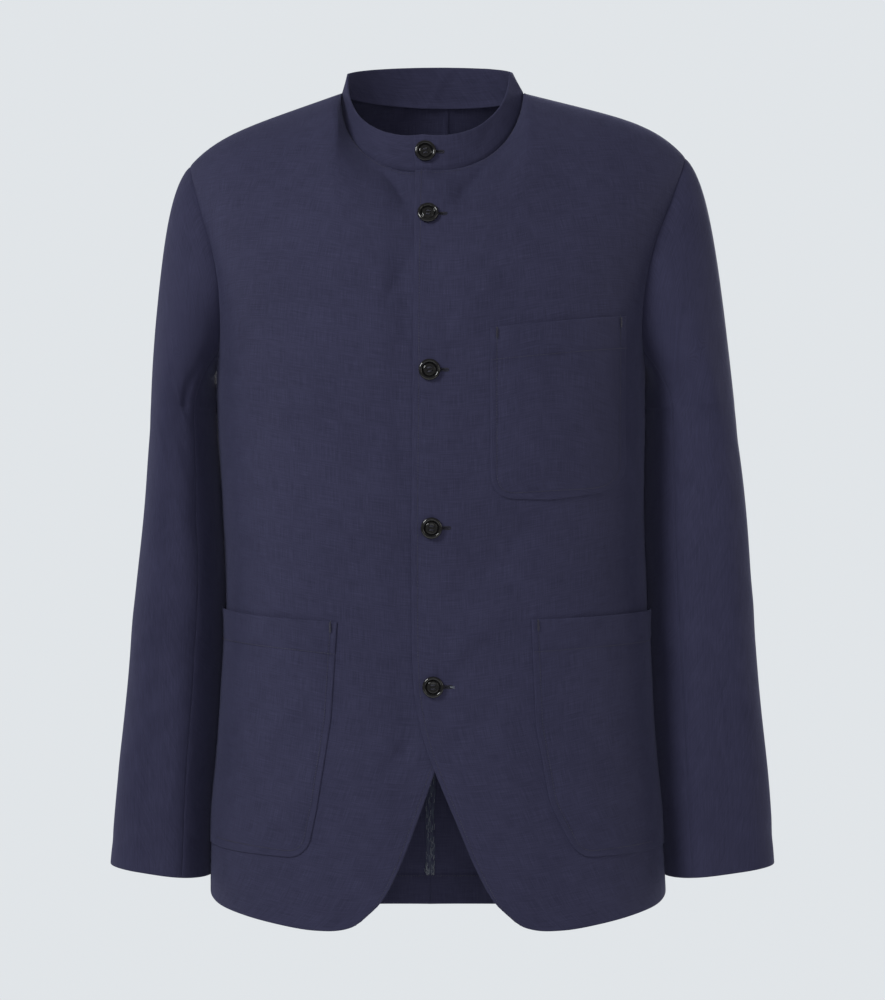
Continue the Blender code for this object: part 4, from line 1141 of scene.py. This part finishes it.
def tube(name, paths, radius, material, sides=6):
    # round threads along several paths, closed at their ends
    points, faces = [], []
    for path in paths:
        run = unit(np.gradient(path, axis=0))
        side = unit(np.cross(run, np.where(abs(run[:, 1:2]) < 0.8, (0, 1.0, 0), (1.0, 0, 0))))
        other = np.cross(run, side)
        first, last = len(points), len(points) + (len(path) - 1) * sides
        for k in range(len(path)):
            for j in range(sides):
                a = 2 * math.pi * j / sides
                points.append(path[k] + radius * (math.cos(a) * side[k] + math.sin(a) * other[k]))
        for start in range(first, last, sides):
            for j in range(sides):
                a, b = start + j, start + (j + 1) % sides
                faces.append((a, b, b + sides, a + sides))
        faces.append(tuple(range(first, first + sides))[::-1])
        faces.append(tuple(range(last, last + sides)))
    made = newPiece(name, points, faces, material)
    outward(made)
    return made


seats = {k: buttonSeat(f"button_{k}") for k in range(1, 6)}
discMesh = buttonMesh()
buttonPieces, threadPieces = [], []
for k, seat in seats.items():
    turn = math.radians(button["turns"][k - 1])
    mesh = discMesh.copy()
    flat = np.array([v.co for v in mesh.vertices]) / mm
    mesh.vertices.foreach_set("co", (placed(flat, seat, turn) * mm).ravel())
    mesh.update()
    buttonPieces.append(putInScene(f"button{k}", mesh))
    paths, offset, gap = [], button["holeOffset"], button["strandGap"]
    s = np.linspace(0, 1, 15)
    x = mix(-offset - 0.05, offset + 0.05, s)
    z = button["strandLow"] + button["strandRise"] * np.sin(s * math.pi) ** 0.45
    # two strands through each pair of holes, then the shank
    for y in (-offset - gap, -offset + gap, offset - gap, offset + gap):
        paths.append(placed(vec(x, y, z), seat, turn))
    around = np.linspace(0, 2 * math.pi * button["shankTurns"], 70)
    rise = np.linspace(button["shankFrom"], button["shankTo"], 70)
    paths.append(placed(vec(button["shank"] * np.cos(around), button["shank"] * np.sin(around), rise), seat))
    threadPieces.append(tube(f"buttonThread{k}", paths, button["thread"], threadNavyPaintedShade))
print("buttons made")

# stitches: one tree lays a bead of thread at an even pitch along every path
stitch = {
    "pitch": 2.7, "length": 2.05, "width": 0.52, "flatness": 0.6, "unevenness": 0.12, "seed": 7,
    "edge": 6.0, "collar": 3.6, "pocket": 6.0, "turnUp": 28.6,  # mm from each edge
    "neckShare": 0.47,  # of a panel's columns, counted from the middle
    "sideStop": 205.0, "hemStop": 203.0,  # x where the skirt pockets' rows stop, short of the side seams
    "bar": 10.0, "barPitch": 0.55, "barWidth": 2.4, "barThread": 0.5,
}


def stitchTree():
    tree = bpy.data.node_groups.new("stitchRow", "GeometryNodeTree")
    sizes = ("Pitch", "Stitch Length", "Thread Width", "Thread Height", "Unevenness")
    kinds = {"Geometry": "Geometry", **{name: "Float" for name in sizes}, "Seed": "Int", "Thread": "Material"}
    for name, kind in kinds.items():
        tree.interface.new_socket(name, in_out="INPUT", socket_type="NodeSocket" + kind)
    tree.interface.new_socket("Geometry", in_out="OUTPUT", socket_type="NodeSocketGeometry")
    add = tree.nodes.new
    start, end = add("NodeGroupInput"), add("NodeGroupOutput")
    curve, spaced = add("GeometryNodeMeshToCurve"), add("GeometryNodeResampleCurve")
    spaced.mode = "LENGTH"
    bead, size = add("GeometryNodeMeshUVSphere"), add("ShaderNodeCombineXYZ")
    shaped = add("GeometryNodeTransform")
    for name, value in (("Segments", 6), ("Rings", 4), ("Radius", 0.5)):
        bead.inputs[name].default_value = value
    lay, out = add("GeometryNodeInputNamedAttribute"), add("GeometryNodeInputNamedAttribute")
    for node, name in ((lay, "lay"), (out, "out")):
        node.data_type = "FLOAT_VECTOR"
        node.inputs["Name"].default_value = name
    first, second = add("FunctionNodeAlignRotationToVector"), add("FunctionNodeAlignRotationToVector")
    first.axis, second.axis, second.pivot_axis = "X", "Z", "X"
    low, high, chance = add("ShaderNodeMath"), add("ShaderNodeMath"), add("FunctionNodeRandomValue")
    low.operation, high.operation, chance.data_type = "SUBTRACT", "ADD", "FLOAT"
    low.inputs[0].default_value = high.inputs[0].default_value = 1.0
    laid, whole = add("GeometryNodeInstanceOnPoints"), add("GeometryNodeRealizeInstances")
    coloured = add("GeometryNodeSetMaterial")
    for before, output, after, socket in (
        (start, "Geometry", curve, 0), (curve, 0, spaced, "Curve"), (start, "Pitch", spaced, "Length"),
        (start, "Stitch Length", size, 0), (start, "Thread Width", size, 1),
        (start, "Thread Height", size, 2), (bead, "Mesh", shaped, "Geometry"), (size, 0, shaped, "Scale"),
        (lay, 0, first, "Vector"), (first, 0, second, "Rotation"), (out, 0, second, "Vector"),
        (start, "Unevenness", low, 1), (start, "Unevenness", high, 1),
        (low, 0, chance, 2), (high, 0, chance, 3), (start, "Seed", chance, "Seed"),
        (spaced, 0, laid, "Points"), (shaped, 0, laid, "Instance"),
        (second, 0, laid, "Rotation"), (chance, 1, laid, "Scale"),
        (laid, 0, whole, 0), (whole, 0, coloured, "Geometry"),
        (start, "Thread", coloured, "Material"), (coloured, 0, end, 0),
    ):
        tree.links.new(before.outputs[output], after.inputs[socket])
    return tree


stitchRow = stitchTree()


def sew(name, rows, thread, pitch, length, width, height):
    # rows: (points, lay directions, outward directions), one row of stitches each
    points = np.vstack([r[0] for r in rows])
    edges, first = [], 0
    for row in rows:
        edges += [(first + k, first + k + 1) for k in range(len(row[0]) - 1)]
        first += len(row[0])
    mesh = bpy.data.meshes.new(name + "Path")
    mesh.from_pydata((points * mm).tolist(), edges, [])
    for words, k in (("lay", 1), ("out", 2)):
        layer = mesh.attributes.new(words, "FLOAT_VECTOR", "POINT")
        layer.data.foreach_set("vector", np.vstack([r[k] for r in rows]).ravel())
    path = putInScene(name + "Path", mesh)
    tool = path.modifiers.new("stitches", "NODES")
    tool.node_group = stitchRow
    sockets = {i.name: i.identifier for i in stitchRow.interface.items_tree if i.in_out == "INPUT"}
    inputs = {
        "Pitch": pitch * mm, "Stitch Length": length * mm,
        "Thread Width": width * mm, "Thread Height": height * mm,
        "Unevenness": stitch["unevenness"], "Seed": stitch["seed"], "Thread": thread,
    }
    for words, value in inputs.items():
        tool[sockets[words]] = value
    done = finishedMesh(path)
    bpy.data.objects.remove(path, do_unlink=True)
    done.name = name
    done.shade_smooth()
    return putInScene(name, done)


def along(points, outs):
    # a row of running stitches: each lies along its path
    return points, unit(np.gradient(points, axis=0)), outs


def crosswise(points, outs):
    # a row of bars: each lies across its path
    return points, unit(np.cross(outs, unit(np.gradient(points, axis=0)))), outs


def rowAt(part, axis, end, inset, inside=False):
    # the line of the cloth at this distance from one of its edges
    grid = panels[part]["inner" if inside else "outer"]
    slants = panels[part]["slants"] * (-1 if inside else 1)
    if axis == 0:
        grid, slants = grid.transpose(1, 0, 2), slants.transpose(1, 0, 2)
    if end:
        grid, slants = grid[:, ::-1], slants[:, ::-1]
    arc = arcs(grid, 1)
    line = np.array([alongChain(inset, a, row) for a, row in zip(arc, grid)])
    outs = np.array([alongChain(inset, a, row) for a, row in zip(arc, slants)])
    return along(line + outs * 0.1, outs)


def even(chain, step=2.0):
    # the same chain with points at an even distance
    arc = chainArc(chain)
    return alongChain(np.linspace(0, arc[-1], max(int(arc[-1] / step), 4)), arc, chain)


def pocketRows(name):
    # round the pocket, then the mouth's hem, and a bar at each end of the mouth that is not in a side seam
    chain, mouth = pocketLines[name]
    side, bothFree = pockets[name]["side"], bool(pockets[name]["outer"])
    line = even(chain)
    run = unit(np.gradient(line, axis=0))
    normal = np.stack([-run[:, 1], run[:, 0]], 1)
    middle = chain.mean(0) if bothFree else (chain.mean(0) + mouth.mean(0)) / 2
    inward = normal * np.sign(((middle - line) * normal).sum(1))[:, None]
    line = line + inward * stitch["pocket"]
    if not bothFree:
        line = line[abs(line[:, 0]) < stitch["sideStop"]]
    lift = pockets["lift"] + pockets["wall"] + 0.45
    rows = [along(*frontAt(even(line), lift))]
    if bothFree:
        x0, x1 = sorted((chain[0, 0], chain[-1, 0]))
        barXs = (x0 + stitch["pocket"], x1 - stitch["pocket"])
    else:
        x0, x1 = sorted((chain[0, 0] + side * 1.5, side * stitch["hemStop"]))
        barXs = (chain[0, 0] + side * stitch["pocket"],)
    xs = np.linspace(x0 + 1.5, x1 - 1.5, 70)
    zs = np.interp(xs, *mouth.T) - pockets["hemDepth"]
    rows.append(along(*frontAt(np.stack([xs, zs], 1), lift + 1.15)))
    bars = []
    for x in barXs:
        z = np.interp(x, *mouth.T)
        down = np.linspace(z - 1.0, z - stitch["bar"], 8)
        bars.append(crosswise(*frontAt(np.stack([np.full(8, x), down], 1), lift + 1.2)))
    return rows, bars


edgeRows = [rowAt((-1, s), 1, 0, stitch["edge"]) for s in (1, -1)]
collarRows = []
for face in (-1, 1):
    for side in (1, -1):
        row = rowAt((face, side), 0, 1, stitch["collar"])
        cut = slice(3, int(len(row[0]) * stitch["neckShare"]))
        collarRows.append([part[cut] for part in row])
turnUpRows = [rowAt((1, s), 0, 0, stitch["turnUp"], inside=True) for s in (1, -1)]
pocketStitch, bars = [], []
for name in ("Chest", "Right", "Left"):
    rows, ends = pocketRows(name)
    pocketStitch += rows
    bars += ends
running = (stitch["pitch"], stitch["length"], stitch["width"], stitch["width"] * stitch["flatness"])
barred = (stitch["barPitch"], stitch["barWidth"], stitch["barThread"], stitch["barThread"])
sewn = [
    sew("stitchesEdge", edgeRows, threadNavyPaintedShade, *running),
    sew("stitchesNeck", collarRows, threadNavyPaintedShade, *running),
    sew("stitchesTurnUp", turnUpRows, threadNavyPaintedShade, *running),
    sew("stitchesPockets", pocketStitch, threadNavyPaintedShade, *running),
    sew("pocketBars", bars, threadNavyPaintedShade, *barred),
]
print("stitching made")

# buttonholes, on the lapping side: a near-black sheet of painted shade in the slit, inside a row of short
# cross stitches
buttonhole = {
    "start": -5.0, "end": 17.5, "half": 1.15, "slit": 0.5, "steps": 46,  # along x, from the button's middle
    "purl": (0.5, 1.5, 0.5, 0.5),  # pitch, length, width and height of its stitches
}


def onto(piece, seat, flat, lift):
    # points given in the button's plane, dropped on the cloth under it
    mesh = piece.data
    tree = BVHTree.FromPolygons([v.co[:] for v in mesh.vertices], [f.vertices[:] for f in mesh.polygons])
    base, across, up, out = seat
    spots, outs = [], []
    for x, y in flat:
        start = (base + across * x + up * y + out * 6.0) * mm
        hit, normal = tree.ray_cast(Vector(start), Vector(-out))[:2]
        if hit is None:
            hit, normal = tree.find_nearest(Vector(start))[:2]
        spots.append(np.array(hit) / mm)
        outs.append(np.array(normal) if normal.dot(Vector(out)) > 0 else -np.array(normal))
    outs = unit(np.array(outs))
    return np.array(spots) + outs * lift, outs


slitPoints, slitFaces, purl = [], [], []
half, start, end = buttonhole["half"], buttonhole["start"], buttonhole["end"]
x = np.linspace(start + 0.6, end - 0.6, buttonhole["steps"])
wide = buttonhole["slit"] * np.sqrt(np.clip(1 - ((x - x.mean()) / (x[-1] - x.mean())) ** 4, 0.02, 1))
n = len(x)
for k, seat in seats.items():
    under = panels["collar"]["piece"] if k == 1 else panels[-1, 1]["piece"]
    first = len(slitPoints)
    for edge in (-wide, wide):
        slitPoints += [*onto(under, seat, np.stack([x, edge], 1), 0.12)[0]]
    slitFaces += [(first + i, first + i + 1, first + n + i + 1, first + n + i) for i in range(n - 1)]
    turn = np.radians(np.linspace(90, -90, 9))
    path = np.vstack([  # along the hole, round its outer end and back
        np.stack([np.linspace(start, end - 1, 40), np.full(40, half)], 1),
        np.stack([end - 1 + np.cos(turn) * half, np.sin(turn) * half], 1),
        np.stack([np.linspace(end - 1, start, 40), np.full(40, -half)], 1),
    ])
    purl.append(crosswise(*onto(under, seat, path, 0.1)))
# the slits are a sheet of painted shade, standing for the shadow seen through each cut
slits = newPiece("buttonholeSlits", slitPoints, slitFaces, slitPaintedShade)
sewn.append(sew("buttonholes", purl, threadHole, *buttonhole["purl"]))

# loose ends: fibres along the binding, most at its foot, and the lowest buttonhole's tails
loose = {
    "seed": 11, "count": 64, "upTo": 120.0, "length": (2, 7), "drift": 1.2, "curl": 0.8, "radius": 0.14,
    "tailFrom": 15.5, "tailLength": 4.5, "tails": (-0.7, 0.1, 0.8),  # beyond the lowest buttonhole
}
chance = random.Random(loose["seed"])
strands = []
for k in range(loose["count"]):
    low = chance.random() ** 2.2 * loose["upTo"]
    row = np.interp(low, bindingGrid[:, 0, 2] - bindingGrid[0, 0, 2], np.arange(len(bindingGrid)))
    column = chance.uniform(0.4, bindingGrid.shape[1] - 1.4)
    i, j = min(int(row), len(bindingGrid) - 2), int(column)
    start = mix(bindingGrid[i, j], bindingGrid[i, j + 1], column - j)
    start = start + (bindingGrid[i + 1, j] - bindingGrid[i, j]) * (row - i)
    reach = chance.uniform(*loose["length"])
    drift, curl = [chance.uniform(-most, most) for most in (loose["drift"], loose["curl"])]
    s = np.linspace(0, 1, 7)
    sideways, out = drift * s + curl * np.sin(s * 3), -0.15 - 0.35 * np.sin(s * 3.1)
    strands.append(start + vec(sideways, out, reach * s - 1.2))
base, across, up, out = seats[5]
s = np.linspace(0, 1, 7)[:, None]
for tilt in loose["tails"]:
    tail = base + across * (loose["tailFrom"] + loose["tailLength"] * s)
    strands.append(tail + up * (tilt * 1.6 * s - 0.5 * s**2) + out * (-0.6 + 0.3 * s))
frayed = tube("frayedThreads", strands, loose["radius"], threadPale, 5)
print("buttonholes and loose threads made")

# what each piece is; here only its node is read, to hang the piece from the root and hide that node
cuts = {  # piece: node, flat width and length, flat area, all in metres
    "frontLeft": ("front_left", 0.345, 0.845, 0.217, ["backLeft"]),
    "frontRight": ("front_right", 0.335, 0.845, 0.2115, ["backRight"]),
    "backLeft": ("back_left", 0.295, 0.855, 0.2065, []),
    "backRight": ("back_right", 0.285, 0.855, 0.2105, []),
    "sleeveLeftTop": ("sleeve_left_top", 0.385, 0.68, 0.149, ["frontLeft", "backLeft"]),
    "sleeveLeftUnder": ("sleeve_left_under", 0.115, 0.55, 0.052, ["sleeveLeftTop"]),
    "sleeveRightTop": ("sleeve_right_top", 0.365, 0.67, 0.1335, ["frontRight", "backRight"]),
    "sleeveRightUnder": ("sleeve_right_under", 0.115, 0.545, 0.05, ["sleeveRightTop"]),
    "collarBand": ("collar_band", 0.57, 0.04, 0.016, ["backLeft", "backRight"]),
    "pocketChest": ("pocket_chest", 0.128, 0.17, 0.0212, ["frontLeft"]),
    "pocketRight": ("pocket_right", 0.175, 0.235, 0.038, ["frontRight"]),
    "pocketLeft": ("pocket_left", 0.18, 0.235, 0.039, ["frontLeft"]),
}
for name, (node, width, length, area, hangsFrom) in cuts.items():
    piece = bpy.data.objects[name]
    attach(piece, "root")
    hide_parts(node)
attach(bindingPiece, "root")
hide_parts("centre_back_tape")
for k, (piece, thread) in enumerate(zip(buttonPieces, threadPieces), 1):
    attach(piece, "root")
    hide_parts(f"button_{k}")
    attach(thread, "root")
for piece in (*sewn, slits, frayed):
    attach(piece, "root")

# floor, light and camera
studio = {
    "floorZ": -1.3, "floorRadius": 2.4, "floorColour": (0.64, 0.65, 0.66),
    "air": (0.752, 0.783, 0.81), "ambient": (0.81, 0.80, 0.79), "ambientStrength": 0.23,
    "lamps": {  # place, what it points at, size, power, colour
        "keyLight": ((-2.0, -2.05, 1.4), (0.0, 0.0, -0.1), 1.2, 64.0, (0.97, 0.985, 1.0)),
        "frontLight": ((0.1, -4.3, 0.0), (0.0, 0.0, -0.35), 1.5, 54.0, (1.0, 0.97, 0.92)),
        "backLight": ((0.9, 3.2, 0.3), (0.0, 0.0, -0.4), 2.0, 74.0, (1.0, 0.99, 0.97)),
        "sideLightLeft": ((3.3, 0.9, 0.1), (0.0, 0.0, -0.4), 1.6, 34.0, (1.0, 0.99, 0.97)),
        "sideLightRight": ((-3.3, 0.9, 0.1), (0.0, 0.0, -0.4), 1.6, 26.0, (1.0, 0.99, 0.97)),
        "fillLight": ((2.6, -2.2, 0.6), (0.0, 0.0, -0.45), 1.8, 9.0, (1.0, 0.98, 0.95)),
    },
    "camera": (0.0081, -3.64, -0.386), "film": 36.0,
    "seen": 0.92, "seenAt": 3.5,  # the height that fills the frame at this distance, in metres
}
disc = bmesh.new()
bmesh.ops.create_circle(disc, cap_ends=True, segments=96, radius=studio["floorRadius"])
bmesh.ops.translate(disc, verts=disc.verts, vec=(0, 0, studio["floorZ"]))
floorMesh = bpy.data.meshes.new("floor")
disc.to_mesh(floorMesh)
disc.free()
floorMesh.materials.append(surface("paleFloor", studio["floorColour"], 0.9)[0])
floor = putInScene("floor", floorMesh)
world = bpy.data.worlds.new("studioAir")
world.use_nodes = True
air = world.node_tree
behind, around = air.nodes["Background"], air.nodes.new("ShaderNodeBackground")
behind.inputs["Color"].default_value = (*studio["air"], 1)  # seen behind the jacket
around.inputs["Color"].default_value = (*studio["ambient"], 1)  # lights it from all round
around.inputs["Strength"].default_value = studio["ambientStrength"]
rays, both = air.nodes.new("ShaderNodeLightPath"), air.nodes.new("ShaderNodeMixShader")
for output, socket in (
    (rays.outputs["Is Camera Ray"], both.inputs[0]), (around.outputs[0], both.inputs[1]),
    (behind.outputs[0], both.inputs[2]), (both.outputs[0], air.nodes["World Output"].inputs["Surface"]),
):
    air.links.new(output, socket)
bpy.context.scene.world = world
for name, (place, aim, reach, power, colour) in studio["lamps"].items():
    data = bpy.data.lights.new(name, "AREA")
    data.shape, data.size, data.energy, data.color = "DISK", reach, power, colour
    lamp = putInScene(name, data)
    lamp.location = place
    lamp.rotation_euler = (Vector(aim) - Vector(place)).to_track_quat("-Z", "Y").to_euler()
    lamp.visible_glossy = name != "frontLight"  # it would leave white spots in the buttons
bpy.context.scene.view_settings.view_transform = "Standard"
lens = bpy.data.cameras.new("photoCamera")
lens.sensor_fit, lens.sensor_height = "VERTICAL", studio["film"]
lens.lens = studio["film"] * studio["seenAt"] / studio["seen"]
camera = putInScene("photoCamera", lens)
camera.location, camera.rotation_euler = studio["camera"], (math.pi / 2, 0, 0)
bpy.context.scene.camera = camera
print("studio made")
